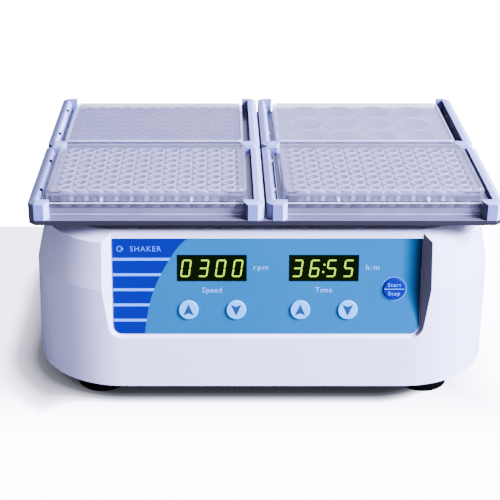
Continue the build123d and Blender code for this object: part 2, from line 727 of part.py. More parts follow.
for place, (cx, cy) in HOLDERS.items():
    wells, level = PLATES[place]
    with BuildPart() as microplate:
        with BuildSketch(Plane.XY.offset(SEAT_Z)):
            with Locations((cx, cy)):
                RectangleRounded(PLATE_W, PLATE_D, CORNER)
        extrude(amount=level["skirt"])
        with BuildSketch(Plane.XY.offset(SEAT_Z)):
            with Locations((cx, cy)):
                RectangleRounded(PLATE_W - 2 * PLATE_WALL, PLATE_D - 2 * PLATE_WALL, CORNER - PLATE_WALL)
        extrude(amount=level["skirt"] - PLATE_WALL, mode=Mode.SUBTRACT)
        with BuildSketch(Plane.XY.offset(SEAT_Z + level["skirt"])):
            with Locations((cx, cy)):
                RectangleRounded(RIM_W, RIM_D, CORNER)
        extrude(amount=level["top"] - level["skirt"])
        # hollow under the deck, and the low wall that stands round the deck
        with BuildSketch(Plane.XY.offset(SEAT_Z + level["skirt"] - PLATE_WALL)):
            with Locations((cx, cy)):
                RectangleRounded(RIM_W - 2 * PLATE_WALL, RIM_D - 2 * PLATE_WALL, CORNER - PLATE_WALL)
        extrude(amount=level["top"] - level["skirt"] - PLATE_WALL + 0.6, mode=Mode.SUBTRACT)
        with BuildSketch(Plane.XY.offset(SEAT_Z + level["top"] - 0.6)):
            with Locations((cx, cy)):
                RectangleRounded(RIM_W - 2 * PLATE_WALL, RIM_D - 2 * PLATE_WALL, CORNER - PLATE_WALL)
        extrude(amount=0.6, mode=Mode.SUBTRACT)
        with BuildSketch(Plane.XY.offset(SEAT_Z + level["floor"] - PLATE_WALL)):
            with Locations((cx, cy)):
                with GridLocations(wells["pitch"], wells["pitch"], wells["across"], wells["down"]):
                    Circle(wells["tube"])
        extrude(amount=level["top"] - 0.2 - level["floor"] + PLATE_WALL)
        with BuildSketch(Plane.XY.offset(SEAT_Z + level["floor"])):
            with Locations((cx, cy)):
                with GridLocations(wells["pitch"], wells["pitch"], wells["across"], wells["down"]):
                    Circle(wells["bore"])
        extrude(amount=level["top"], mode=Mode.SUBTRACT)
    save(microplate, "microplate_" + place)

    with BuildPart() as plate_lid:
        with BuildSketch(Plane.XY.offset(SEAT_Z + level["lid_low"])):
            with Locations((cx, cy)):
                RectangleRounded(LID_W, LID_D, CORNER)
        extrude(amount=level["lid_top"] - 0.7 - level["lid_low"])
        # raised bead round the top
        with BuildSketch(Plane.XY.offset(SEAT_Z + level["lid_top"] - 0.7)):
            with Locations((cx, cy)):
                RectangleRounded(LID_W - 2.4, LID_D - 2.4, CORNER)
                RectangleRounded(LID_W - 4.8, LID_D - 4.8, CORNER - 1.2, mode=Mode.SUBTRACT)
        extrude(amount=0.7)
        with BuildSketch(Plane.XY.offset(SEAT_Z + level["lid_low"])):
            with Locations((cx, cy)):
                RectangleRounded(LID_W - 2 * LID_WALL, LID_D - 2 * LID_WALL, CORNER - LID_WALL)
        extrude(amount=level["lid_top"] - 1.5 - level["lid_low"], mode=Mode.SUBTRACT)
        # four pads inside that rest on the rim of the plate
        with BuildSketch(Plane.XY.offset(SEAT_Z + level["top"])):
            with Locations((cx, cy)):
                with GridLocations(RIM_W - 6.0, RIM_D - 1.2, 2, 2):
                    Rectangle(4.0, 1.0)
        extrude(amount=level["lid_top"] - 1.4 - level["top"])
    save(plate_lid, "plate_lid_" + place)

# ---------------------------------------------------------------- control panel
with BuildPart() as panel_overlay:
    with BuildSketch(PANEL.offset(-FILM_T)) as film:
        with Locations((FILM_X, FILM_LOW + FILM_H / 2)):
            Rectangle(FILM_W, FILM_H)
        fillet(film.vertices().group_by(Axis.Y)[0], 5.2)
        with Locations(*WINDOWS):
            Rectangle(WINDOW_W, WINDOW_H, mode=Mode.SUBTRACT)
        with Locations(*ARROWS.values()):
            Circle(ARROW_R + BUTTON_GAP, mode=Mode.SUBTRACT)
        with Locations(START):
            Circle(START_R + BUTTON_GAP, mode=Mode.SUBTRACT)
    extrude(amount=FILM_T)
save(panel_overlay, "panel_overlay")

WALL_BACK = -FILM_T - WALL
with BuildPart() as display_windows:
    with BuildSketch(PANEL.offset(WALL_BACK - 0.2)):
        with Locations(*WINDOWS):
            Rectangle(WINDOW_W - 0.6, WINDOW_H - 0.6)
    extrude(amount=-WALL_BACK + 0.1)
    with BuildSketch(PANEL.offset(WALL_BACK - 0.2)):
        with Locations(*WINDOWS):
            Rectangle(WINDOW_W + 3.0, WINDOW_H + 2.4)
    extrude(amount=-1.0)
save(display_windows, "display_windows")

with BuildPart() as panel_board:
    with BuildSketch(PANEL.offset(BOARD_Z)):
        with Locations((0, 31.0)):
            Rectangle(184.0, 54.0)
        with Locations(*PANEL_BOSSES):
            Circle(1.5, mode=Mode.SUBTRACT)
    extrude(amount=-1.6)
    with BuildSketch(PANEL.offset(BOARD_Z - 1.6)):
        with Locations((-20.0, 30.0)):
            Rectangle(16.0, 16.0)
        with Locations((40.0, 20.0)):
            Rectangle(24.0, 6.0)
    extrude(amount=-3.0)
save(panel_board, "panel_board")

with BuildPart() as panel_screws:
    with BuildSketch(PANEL.offset(BOARD_Z - 1.6)):
        with Locations(*PANEL_BOSSES):
            Circle(2.4)
    extrude(amount=-1.6)
    with BuildSketch(PANEL.offset(BOARD_Z - 1.6)):
        with Locations(*PANEL_BOSSES):
            Circle(1.2)
    extrude(amount=6.6)
save(panel_screws, "panel_screws")

with BuildPart() as display_modules:
    with BuildSketch(PANEL.offset(BOARD_Z)):
        with Locations(*WINDOWS):
            Rectangle(WINDOW_W - 2.4, WINDOW_H - 1.2)
    extrude(amount=-BOARD_Z + WALL_BACK - 1.5)
save(display_modules, "display_modules")

BUTTONS = dict(ARROWS)
BUTTONS["start_stop_button"] = START
TRAVEL = 0.8
STEM_END = WALL_BACK - 1.8
with BuildPart() as tact_switches:
    with BuildSketch(PANEL.offset(BOARD_Z)):
        with Locations(*BUTTONS.values()):
            Rectangle(6.0, 6.0)
    extrude(amount=3.4)
    with BuildSketch(PANEL.offset(BOARD_Z + 3.4)):
        with Locations(*BUTTONS.values()):
            Circle(1.7)
    extrude(amount=STEM_END - TRAVEL - 0.1 - BOARD_Z - 3.4)
save(tact_switches, "tact_switches")

for name, spot in BUTTONS.items():
    cap_r = START_R if name == "start_stop_button" else ARROW_R
    with BuildPart() as button:
        with BuildSketch(PANEL.offset(WALL_BACK - 1.2)):
            with Locations(spot):
                Circle(cap_r + 1.4)
        extrude(amount=1.0)
        with BuildSketch(PANEL.offset(WALL_BACK - 0.2)):
            with Locations(spot):
                Circle(cap_r)
        extrude(amount=-WALL_BACK + 0.2 + 1.1)
        chamfer(button.faces().sort_by(Axis.Y)[0].edges(), 0.5)
        with BuildSketch(PANEL.offset(WALL_BACK - 1.2)):
            with Locations(spot):
                Circle(1.7)
        extrude(amount=STEM_END - WALL_BACK + 1.2)
    save(button, name)

# ---------------------------------------------------------------- electrics
with BuildPart() as control_board:
    with BuildSketch(Plane.XY.offset(15.0)):
        with Locations((72.0, 0.0)):
            RectangleRounded(84.0, 96.0, 2.0)
    extrude(amount=1.6)
    with BuildSketch(Plane.XY.offset(FOOT_H + BASE_T)):
        with Locations((72.0, 0.0)):
            with GridLocations(74.0, 86.0, 2, 2):
                Circle(3.0)
    extrude(amount=6.0)
    for x, y, w, d, h in (
        (52.0, 20.0, 14.0, 14.0, 2.0), (90.0, -20.0, 22.0, 8.0, 9.0), (52.0, -26.0, 20.0, 7.0, 8.0),
        (88.0, 24.0, 18.0, 22.0, 14.0), (66.0, -4.0, 8.0, 8.0, 1.6), (100.0, 4.0, 6.0, 16.0, 10.0),
    ):
        with BuildSketch(Plane.XY.offset(16.6)):
            with Locations((x, y)):
                Rectangle(w, d)
        extrude(amount=h)
    with BuildSketch(Plane.XY.offset(16.6)):
        with Locations((44.0, 4.0), (44.0, -8.0)):
            Circle(4.0)
    extrude(amount=11.0)
save(control_board, "control_board")

PSU_X = -70.0
PSU_Y = 10.0
with BuildPart() as power_supply:
    with BuildSketch(Plane.XY.offset(15.0)):
        with Locations((PSU_X, PSU_Y)):
            RectangleRounded(64.0, 92.0, 2.0)
    extrude(amount=1.6)
    with BuildSketch(Plane.XY.offset(FOOT_H + BASE_T)):
        with Locations((PSU_X, PSU_Y)):
            with GridLocations(54.0, 82.0, 2, 2):
                Circle(3.0)
    extrude(amount=6.0)
    for x, y, w, d, h in (
        (-2.0, -4.0, 30.0, 26.0, 22.0), (24.0, -6.0, 4.0, 46.0, 20.0), (-14.0, 30.0, 18.0, 14.0, 14.0),
        (10.0, 34.0, 20.0, 9.0, 10.0), (0.0, -38.0, 26.0, 8.0, 9.0),
    ):
        with BuildSketch(Plane.XY.offset(16.6)):
            with Locations((PSU_X + x, PSU_Y + y)):
                Rectangle(w, d)
        extrude(amount=h)
    with BuildSketch(Plane.XY.offset(16.6)):
        with Locations((PSU_X - 25.0, PSU_Y - 24.0), (PSU_X - 25.0, PSU_Y + 4.0)):
            Circle(6.4)
    extrude(amount=22.0)
save(power_supply, "power_supply")

SOCKET_Z = BAY_Z - 6.0
with BuildPart() as mains_inlet:
    with BuildSketch(Plane.XZ.offset(-BAY_FLOOR_Y)):
        with Locations((INLET_X, BAY_Z)):
            RectangleRounded(34.0, 42.0, 2.0)
    extrude(amount=-2.4)
    with BuildSketch(Plane.XZ.offset(-BAY_FLOOR_Y)):
        with Locations((INLET_X, BAY_Z)):
            Rectangle(27.2, 35.2)
    extrude(amount=22.0)
    # three-pole socket well with its blades
    with BuildSketch(Plane.XZ.offset(-BAY_FLOOR_Y - 2.4)) as well:
        with Locations((INLET_X, SOCKET_Z)):
            Rectangle(24.4, 16.4)
        chamfer(well.vertices().group_by(Axis.Y)[-1], 4.0)
    extrude(amount=18.0, mode=Mode.SUBTRACT)
    with BuildSketch(Plane.XZ.offset(-BAY_FLOOR_Y + 17.0)):
        with Locations((INLET_X - 7.0, SOCKET_Z - 2.0), (INLET_X + 7.0, SOCKET_Z - 2.0), (INLET_X, SOCKET_Z + 2.0)):
            Rectangle(2.0, 4.0)
    extrude(amount=-16.0)
    # fuse drawer slot above the socket
    with BuildSketch(Plane.XZ.offset(-BAY_FLOOR_Y - 2.4)):
        with Locations((INLET_X, BAY_Z + 11.5)):
            Rectangle(22.6, 8.6)
    extrude(amount=16.0, mode=Mode.SUBTRACT)
save(mains_inlet, "mains_inlet")

with BuildPart() as fuse_drawer:
    with BuildSketch(Plane.XZ.offset(-BAY_FLOOR_Y - 2.6)):
        with Locations((INLET_X, BAY_Z + 11.5)):
            Rectangle(22.0, 8.0)
    extrude(amount=15.0)
    with BuildSketch(Plane.XZ.offset(-BAY_FLOOR_Y - 2.6)):
        with Locations((INLET_X, BAY_Z + 11.5)):
            RectangleRounded(20.0, 6.0, 1.0)
    extrude(amount=-1.0)
    with BuildSketch(Plane.XZ.offset(-BAY_FLOOR_Y - 3.6)):
        with Locations((INLET_X, BAY_Z + 11.5)):
            Rectangle(7.0, 1.2)
    extrude(amount=0.6, mode=Mode.SUBTRACT)
save(fuse_drawer, "fuse_drawer")

with BuildPart() as switch_bezel:
    with BuildSketch(Plane.XZ.offset(-BAY_FLOOR_Y)):
        with Locations((SWITCH_X, BAY_Z)):
            RectangleRounded(23.0, 31.0, 1.5)
    extrude(amount=-2.0)
    with BuildSketch(Plane.XZ.offset(-BAY_FLOOR_Y)):
        with Locations((SWITCH_X, BAY_Z)):
            Rectangle(19.0, 27.0)
    extrude(amount=16.0)
    with BuildSketch(Plane.XZ.offset(-BAY_FLOOR_Y - 2.0)):
        with Locations((SWITCH_X, BAY_Z)):
            Rectangle(15.0, 22.6)
    extrude(amount=13.0, mode=Mode.SUBTRACT)
save(switch_bezel, "switch_bezel")

# rocker: a shallow vee-faced wedge that pivots about a pin across the bezel
ROCKER_Y = BAY_FLOOR_Y - 4.0
with BuildPart() as rocker_switch:
    with BuildSketch(Plane.YZ.offset(SWITCH_X - 7.0)):
        with BuildLine():
            Polyline(
                (ROCKER_Y - 3.5, BAY_Z - 3.0), (ROCKER_Y - 3.5, BAY_Z + 3.0), (ROCKER_Y + 3.4, BAY_Z + 10.2),
                (ROCKER_Y + 6.2, BAY_Z + 10.4), (ROCKER_Y + 5.4, BAY_Z), (ROCKER_Y + 8.2, BAY_Z - 9.6),
                (ROCKER_Y + 5.4, BAY_Z - 10.4), close=True,
            )
        make_face()
    extrude(amount=14.0)
save(rocker_switch, "rocker_switch")
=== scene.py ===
"""Looks for the microplate orbital shaker: materials, print, lit digits, clear plates, studio."""

import json
import math

import bmesh
import bpy
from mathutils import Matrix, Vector


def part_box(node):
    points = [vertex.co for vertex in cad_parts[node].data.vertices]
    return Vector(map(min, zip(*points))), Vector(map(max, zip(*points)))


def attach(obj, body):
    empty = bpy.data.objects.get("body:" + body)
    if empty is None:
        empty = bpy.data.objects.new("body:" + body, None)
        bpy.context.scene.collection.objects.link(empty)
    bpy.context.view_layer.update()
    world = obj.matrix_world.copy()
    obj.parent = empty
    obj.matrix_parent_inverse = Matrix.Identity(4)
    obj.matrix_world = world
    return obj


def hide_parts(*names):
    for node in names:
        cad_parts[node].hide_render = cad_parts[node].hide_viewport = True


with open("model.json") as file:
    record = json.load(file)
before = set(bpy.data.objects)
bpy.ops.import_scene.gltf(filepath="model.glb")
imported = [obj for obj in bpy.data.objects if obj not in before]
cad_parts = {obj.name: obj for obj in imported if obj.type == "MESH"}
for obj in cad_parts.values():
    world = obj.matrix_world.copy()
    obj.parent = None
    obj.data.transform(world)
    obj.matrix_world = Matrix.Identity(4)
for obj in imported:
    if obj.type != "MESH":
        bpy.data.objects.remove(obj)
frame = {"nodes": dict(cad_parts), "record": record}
scene = bpy.context.scene
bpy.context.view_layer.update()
MM = 0.001

# ------------------------------------------------------------------ camera
CAMERA_AT = (-0.0282, -0.768, 0.4146)
CAMERA_DOWN = 25.4  # degrees below level
camera_data = bpy.data.cameras.new("camera")
camera_data.lens = 88.8
camera_data.sensor_width = 36.0
camera_data.shift_x = 0.064
camera = bpy.data.objects.new("camera", camera_data)
scene.collection.objects.link(camera)
camera.location = CAMERA_AT
camera.rotation_euler = (math.radians(90.0 - CAMERA_DOWN), 0.0, 0.0)
scene.camera = camera

PLACES = ("front_left", "front_right", "back_left", "back_right")


def box_mm(node):
    """Lowest and highest corners of one node in millimetres."""
    low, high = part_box(node)
    return Vector(low) / MM, Vector(high) / MM


# ------------------------------------------------------------------ panel frame
# the panel's own axes in millimetres: x across, y up its slope, z out of the film's face
FILM_LOW = 1.1  # the film's lower edge, up the slope
FILM_T = 0.6
film_low, film_high = box_mm("panel_overlay")
press = next(j for j in frame["record"]["behaviour"]["joints"] if j["name"] == "speed_up_press")
PANEL_N = -Vector(press["axis"]).normalized()
PANEL_X = Vector((1.0, 0.0, 0.0))
PANEL_Y = PANEL_N.cross(PANEL_X)
PANEL_EDGE = Vector((0.0, film_low.y, film_low.z + FILM_T * PANEL_N.z))
FILM_LEFT = film_low.x
FILM_TOP = FILM_LOW + (film_high.z - PANEL_EDGE.z) / PANEL_Y.z


# ------------------------------------------------------------------ materials
def material(name):
    """An empty node material with its output and a Principled shader wired up."""
    m = bpy.data.materials.new(name)
    m.use_nodes = True
    nodes, links = m.node_tree.nodes, m.node_tree.links
    nodes.clear()
    out = nodes.new("ShaderNodeOutputMaterial")
    shader = nodes.new("ShaderNodeBsdfPrincipled")
    links.new(shader.outputs["BSDF"], out.inputs["Surface"])
    return m, nodes, links, shader


def set_shader(shader, rough=0.5, metal=0.0, spec=0.5, coat=0.0, ior=1.5):
    shader.inputs["Roughness"].default_value = rough
    shader.inputs["Metallic"].default_value = metal
    shader.inputs["Specular IOR Level"].default_value = spec
    shader.inputs["Coat Weight"].default_value = coat
    shader.inputs["Coat Roughness"].default_value = 0.12
    shader.inputs["IOR"].default_value = ior


def coordinates(nodes, links, stretch=(1.0, 1.0, 1.0)):
    """A point of the object, with each axis scaled."""
    place = nodes.new("ShaderNodeTexCoord")
    scale = nodes.new("ShaderNodeMapping")
    scale.inputs["Scale"].default_value = stretch
    links.new(place.outputs["Object"], scale.inputs["Vector"])
    return scale.outputs["Vector"]


def noise(nodes, links, vector, scale, detail=3.0, rough=0.55):
    n = nodes.new("ShaderNodeTexNoise")
    n.inputs["Scale"].default_value = scale
    n.inputs["Detail"].default_value = detail
    n.inputs["Roughness"].default_value = rough
    links.new(vector, n.inputs["Vector"])
    return n.outputs["Fac"]


def ramp(nodes, links, value, stops):
    r = nodes.new("ShaderNodeValToRGB")
    links.new(value, r.inputs["Fac"])
    while len(r.color_ramp.elements) < len(stops):
        r.color_ramp.elements.new(0.5)
    for element, (at, colour) in zip(r.color_ramp.elements, stops):
        element.position = at
        element.color = (*colour, 1.0)
    return r.outputs["Color"]


def bump(nodes, links, shader, height, strength, distance):
    b = nodes.new("ShaderNodeBump")
    b.inputs["Strength"].default_value = strength
    b.inputs["Distance"].default_value = distance
    links.new(height, b.inputs["Height"])
    links.new(b.outputs["Normal"], shader.inputs["Normal"])


def maths(nodes, links, kind, a, b=None):
    """One Math node fed by a socket and by a socket or a number."""
    n = nodes.new("ShaderNodeMath")
    n.operation = kind
    links.new(a, n.inputs[0])
    if b is not None:
        if isinstance(b, float):
            n.inputs[1].default_value = b
        else:
            links.new(b, n.inputs[1])
    return n.outputs["Value"]


def span(nodes, links, socket, low, high, to_low=0.0, to_high=1.0, kind="SMOOTHSTEP"):
    """Carry a value from one range to another."""
    n = nodes.new("ShaderNodeMapRange")
    n.interpolation_type = kind
    n.inputs["From Min"].default_value = low
    n.inputs["From Max"].default_value = high
    n.inputs["To Min"].default_value = to_low
    n.inputs["To Max"].default_value = to_high
    links.new(socket, n.inputs["Value"])
    return n.outputs["Result"]


def shade(colour, amount):
    """A colour made lighter or darker."""
    return tuple(max(0.0, c * amount) for c in colour)


def surface(name, colour, rough=0.45, spec=0.5, coat=0.0, vary=0.06, grain=900.0,
            grain_depth=0.02, blotch=14.0):
    """A surface whose colour, gloss and fine relief all vary a little from place to place."""
    m, nodes, links, shader = material(name)
    set_shader(shader, rough, 0.0, spec, coat)
    at = coordinates(nodes, links)
    broad = noise(nodes, links, at, blotch, 4.0)
    stops = [(0.3, shade(colour, 1.0 - vary)), (0.7, shade(colour, 1.0 + vary))]
    links.new(ramp(nodes, links, broad, stops), shader.inputs["Base Color"])
    gloss = nodes.new("ShaderNodeMapRange")
    gloss.inputs["To Min"].default_value = max(0.02, rough - 0.06)
    gloss.inputs["To Max"].default_value = min(1.0, rough + 0.08)
    links.new(noise(nodes, links, at, blotch * 5.0, 5.0), gloss.inputs["Value"])
    links.new(gloss.outputs["Result"], shader.inputs["Roughness"])
    bump(nodes, links, shader, noise(nodes, links, at, grain, 2.0), 0.35, grain_depth * MM)
    return m


def brushed(name, colour, rough=0.32):
    """Metal with fine lines drawn one way."""
    m, nodes, links, shader = material(name)
    set_shader(shader, rough, 1.0)
    at = coordinates(nodes, links, (6.0, 900.0, 900.0))
    lines = noise(nodes, links, at, 1.0, 4.0, 0.7)
    stops = [(0.25, shade(colour, 0.82)), (0.75, shade(colour, 1.1))]
    links.new(ramp(nodes, links, lines, stops), shader.inputs["Base Color"])
    bump(nodes, links, shader, lines, 0.25, 0.02 * MM)
    return m


def glow(name, colour, strength):
    """A plastic that shines by itself."""
    m, nodes, links, shader = material(name)
    set_shader(shader, 0.5)
    at = coordinates(nodes, links)
    speckle = noise(nodes, links, at, 400.0, 2.0)
    stops = [(0.3, shade(colour, 0.9)), (0.7, colour)]
    links.new(ramp(nodes, links, speckle, stops), shader.inputs["Emission Color"])
    shader.inputs["Base Color"].default_value = (*shade(colour, 0.3), 1.0)
    shader.inputs["Emission Strength"].default_value = strength
    return m


CLEAR_ROUGH = 0.05


def clear_plastic(name, milk, film):
    """Thin clear moulding that mirrors the lights; film is the share of it that is milky."""
    m, nodes, links, shader = material(name)
    out = next(n for n in nodes if n.type == "OUTPUT_MATERIAL")
    set_shader(shader, CLEAR_ROUGH, ior=1.58)
    at = coordinates(nodes, links)
    flow = noise(nodes, links, at, 60.0, 3.0)
    stops = [(0.3, shade(milk, 0.9)), (0.7, shade(milk, 1.08))]
    links.new(ramp(nodes, links, flow, stops), shader.inputs["Base Color"])
    relief = nodes.new("ShaderNodeBump")
    relief.inputs["Strength"].default_value = 0.15
    relief.inputs["Distance"].default_value = 0.03 * MM
    links.new(noise(nodes, links, at, 160.0, 2.0), relief.inputs["Height"])
    links.new(relief.outputs["Normal"], shader.inputs["Normal"])
    clear = nodes.new("ShaderNodeBsdfTransparent")
    clear.inputs["Color"].default_value = (0.95, 0.95, 0.97, 1.0)
    mirror = nodes.new("ShaderNodeBsdfGlossy")
    mirror.inputs["Color"].default_value = (1.0, 1.0, 1.0, 1.0)
    mirror.inputs["Roughness"].default_value = CLEAR_ROUGH
    links.new(relief.outputs["Normal"], mirror.inputs["Normal"])
    glance = nodes.new("ShaderNodeLayerWeight")
    glance.inputs["Blend"].default_value = 0.5
    share = maths(nodes, links, "POWER", glance.outputs["Facing"], 4.0)
    share = maths(nodes, links, "ADD", maths(nodes, links, "MULTIPLY", share, 0.8), 0.025)
    gloss_mix = nodes.new("ShaderNodeMixShader")
    links.new(share, gloss_mix.inputs["Fac"])
    links.new(clear.outputs["BSDF"], gloss_mix.inputs[1])
    links.new(mirror.outputs["BSDF"], gloss_mix.inputs[2])
    veil = nodes.new("ShaderNodeMapRange")
    veil.inputs["To Min"].default_value = film * 0.85
    veil.inputs["To Max"].default_value = film * 1.15
    links.new(flow, veil.inputs["Value"])
    body_mix = nodes.new("ShaderNodeMixShader")
    links.new(veil.outputs["Result"], body_mix.inputs["Fac"])
    links.new(gloss_mix.outputs["Shader"], body_mix.inputs[1])
    links.new(shader.outputs["BSDF"], body_mix.inputs[2])
    links.new(body_mix.outputs["Shader"], out.inputs["Surface"])
    return m


def geometry(nodes, links, output):
    """A point's position or normal in the row frame: its x, y and z sockets, and the whole vector."""
    place = nodes.new("ShaderNodeNewGeometry")
    split = nodes.new("ShaderNodeSeparateXYZ")
    links.new(place.outputs[output], split.inputs["Vector"])
    return split.outputs, place.outputs[output]


def product(nodes, links, masks):
    """Several masks multiplied together."""
    result = masks[0]
    for mask in masks[1:]:
        result = maths(nodes, links, "MULTIPLY", result, mask)
    return result


def paintable(m):
    """The nodes, links and shader of a finished material, and the socket that colours it."""
    nodes, links = m.node_tree.nodes, m.node_tree.links
    shader = next(n for n in nodes if n.type == "BSDF_PRINCIPLED")
    return nodes, links, shader, shader.inputs["Base Color"].links[0].from_socket


def coated(nodes, links, under, mask, colour):
    """One colour laid over another where the mask is 1."""
    mix = nodes.new("ShaderNodeMix")
    mix.data_type = "RGBA"
    mix.inputs["B"].default_value = (*colour, 1.0)
    links.new(mask, mix.inputs["Factor"])
    links.new(under, mix.inputs["A"])
    return mix.outputs["Result"]


def past_panel(nodes, links, position, along):
    """How far a point is from the film's lower front edge along one of the panel's axes, in metres."""
    n = nodes.new("ShaderNodeVectorMath")
    n.operation = "DOT_PRODUCT"
    n.inputs[1].default_value = along
    links.new(position, n.inputs[0])
    return maths(nodes, links, "SUBTRACT", n.outputs["Value"], float(along.dot(PANEL_EDGE) * MM))


def film_look():
    """Cyan film with a painted shadow that darkens it towards the deep wall at its right end, more so near
    its top.
    """
    m = surface("panel_film", (0.0, 0.104, 0.190), 0.38, spec=0.04, vary=0.04,
                grain=2200.0, grain_depth=0.006)
    nodes, links, shader, plain = paintable(m)
    at, position = geometry(nodes, links, "Position")
    up = past_panel(nodes, links, position, PANEL_Y)
    reach = span(nodes, links, up, 0.002, 0.034, 0.0012, 0.0130)
    inset = maths(nodes, links, "SUBTRACT", at["X"], float(film_high.x * MM))
    share = maths(nodes, links, "DIVIDE", inset, reach)
    shadow = maths(nodes, links, "POWER", span(nodes, links, share, -1.0, -0.03), 0.72)
    links.new(coated(nodes, links, plain, shadow, (0.0, 0.003, 0.008)), shader.inputs["Base Color"])
    return m


def housing_look():
    """White moulded plastic; the left-facing wall at the right end of the panel recess is painted slate as
    shade.
    """
    m = surface("housing_plastic", (0.80, 0.80, 0.84), 0.42, vary=0.015, grain=1500.0, grain_depth=0.015)
    nodes, links, shader, plain = paintable(m)
    at, position = geometry(nodes, links, "Position")
    turn, _ = geometry(nodes, links, "True Normal")
    right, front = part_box("panel_overlay")[1][0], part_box("panel_overlay")[0][1]
    depth = past_panel(nodes, links, position, PANEL_N)
    up = past_panel(nodes, links, position, PANEL_Y)
    top = (FILM_TOP - FILM_LOW) * MM

    def inside(limits):
        """A mask that is 1 where every socket is past its second limit."""
        return product(nodes, links, [span(nodes, links, *limit, kind="LINEAR") for limit in limits])

    wall = inside((
        (at["X"], right - 0.009, right - 0.003), (at["Y"], front + 0.024, front + 0.020),
        (turn["X"], -0.12, -0.42),
    ))
    # the narrow floor strip between the film's right edge and that wall gets the same painted slate shade
    strip = inside((
        (at["X"], right - 0.0006, right - 0.0002), (at["X"], right + 0.0022, right + 0.0018),
        (depth, 0.0006, 0.0002), (depth, -0.0030, -0.0020),
        (up, 0.001, 0.006), (up, top - 0.0002, top - 0.0006),
    ))
    mask = maths(nodes, links, "MAXIMUM", wall, strip)
    links.new(coated(nodes, links, plain, mask, (0.095, 0.084, 0.084)), shader.inputs["Base Color"])
    return m


HOUSING = housing_look()
RUBBER = surface("foot_rubber", (0.0012, 0.0011, 0.0008), 0.7, spec=0.01, vary=0.2,
                 grain=700.0, grain_depth=0.05)
STEEL = brushed("plated_steel", (0.55, 0.56, 0.60))
ALUMINIUM = brushed("chassis_aluminium", (0.66, 0.67, 0.70), 0.36)
BRONZE = brushed("bush_bronze", (0.55, 0.36, 0.16), 0.4)
BLACK_METAL = surface("motor_black", (0.03, 0.03, 0.034), 0.4, spec=0.5, vary=0.15)
BELT = surface("belt_rubber", (0.02, 0.02, 0.02), 0.7, vary=0.2, grain=500.0, grain_depth=0.08)
FILM = film_look()
INK_DARK = surface("panel_ink_dark", (0.0, 0.003, 0.125), 0.38, spec=0.03, vary=0.05,
                   grain=2200.0, grain_depth=0.006)
INK_LINE = surface("panel_ink_line", (0.06, 0.27, 0.74), 0.38, spec=0.1, vary=0.03)
INK_WHITE = surface("panel_ink_white", (0.16, 0.36, 0.58), 0.38, spec=0.1, vary=0.03)
INK_RING = surface("panel_ink_ring", (0.02, 0.15, 0.50), 0.38, spec=0.1, vary=0.03)
INK_TITLE = surface("panel_ink_title", (0.04, 0.14, 0.60), 0.38, spec=0.1, vary=0.03)
WINDOW = surface("window_dark", (0.0015, 0.0035, 0.0004), 0.2, spec=0.0, vary=0.25,
                 grain=600.0, grain_depth=0.004)
MODULE = surface("display_black", (0.01, 0.012, 0.008), 0.4, vary=0.1)
DIGIT = glow("digit_glow", (0.52, 1.0, 0.0), 1.45)
BUTTON = surface("arrow_button_plastic", (0.09, 0.40, 0.70), 0.36, spec=0.3, vary=0.03)
ARROW = surface("arrow_ink", (0.008, 0.045, 0.10), 0.4, spec=0.04, vary=0.05)
START = surface("start_button_plastic", (0.0005, 0.005, 0.13), 0.36, spec=0.04, vary=0.05)
BOARD = surface("board_green", (0.01, 0.10, 0.04), 0.4, vary=0.15, blotch=60.0)
BLACK = surface("black_plastic", (0.022, 0.022, 0.026), 0.42, vary=0.15)
ROCKER = surface("rocker_plastic", (0.35, 0.012, 0.010), 0.3, vary=0.08)
LID = clear_plastic("lid_clear", (0.55, 0.55, 0.60), 0.06)
LID_HAZY = clear_plastic("lid_hazy", (0.27, 0.27, 0.32), 0.42)
LID_MISTY = clear_plastic("lid_misty", (0.42, 0.42, 0.47), 0.34)
# pale edge plastics: painted highlights on the lid beads and on the skirt's top edge
LID_EDGE = clear_plastic("lid_edge", (0.80, 0.80, 0.88), 0.14)
BRIGHT_EDGE = clear_plastic("bright_edge", (0.90, 0.90, 0.95), 0.75)
BACK_EDGE = clear_plastic("back_lid_edge", (0.85, 0.85, 0.92), 0.38)
# dark far lid bead and dusky near lid wall: painted shade
DARK_EDGE = surface("lid_far_edge", (0.055, 0.055, 0.085), 0.2, vary=0.1)
NEAR_WALL = clear_plastic("lid_near_wall", (0.05, 0.05, 0.07), 0.34)
SKIRT = clear_plastic("skirt_clear", (0.27, 0.27, 0.32), 0.42)
SKIRT_HIGH = clear_plastic("skirt_high", (0.060, 0.052, 0.055), 0.55)
# the skirt's foot step is painted pale as a highlight
STEP_EDGE = clear_plastic("step_edge", (0.75, 0.75, 0.80), 0.34)
WALL_CLEAR = clear_plastic("wall_clear", (0.40, 0.40, 0.45), 0.06)
# moulded row marks painted near black as their shade
MOULD_MARK_SHADE = clear_plastic("mould_mark_shade", (0.006, 0.006, 0.02), 0.95)
PALE_PIN = surface("pale_pin_plastic", (0.50, 0.55, 0.76), 0.3, vary=0.03)
KEY = clear_plastic("corner_key", (0.008, 0.008, 0.025), 0.95)
# the opaque parts of a plate: gusset, deck, rim, and a well's bore, floor and tube
# gussets painted near white as the highlights between the front wells
GUSSET_HIGHLIGHT = surface("well_gusset_highlight", (0.95, 0.95, 0.98), 0.25, spec=0.8, coat=0.4, vary=0.03, grain=300.0)
FROST = surface("well_frost", (0.31, 0.31, 0.35), 0.20, spec=0.7, coat=0.4, vary=0.06, grain=300.0)
# well rims painted near white as highlights
RIM = surface("well_rim", (0.88, 0.88, 0.93), 0.15, spec=0.8, coat=0.6, vary=0.05, grain=300.0)
# well bores and floors painted dark as shade inside the wells
BORE = surface("well_bore", (0.22, 0.22, 0.26), 0.12, spec=0.8, coat=0.8, vary=0.10, grain=300.0)
WELL_FLOOR = surface("well_floor", (0.16, 0.16, 0.20), 0.12, spec=0.8, coat=0.6, vary=0.15, grain=300.0)
TUBE = surface("well_tube", (0.50, 0.50, 0.56), 0.15, spec=0.8, coat=0.6, vary=0.08, grain=300.0)


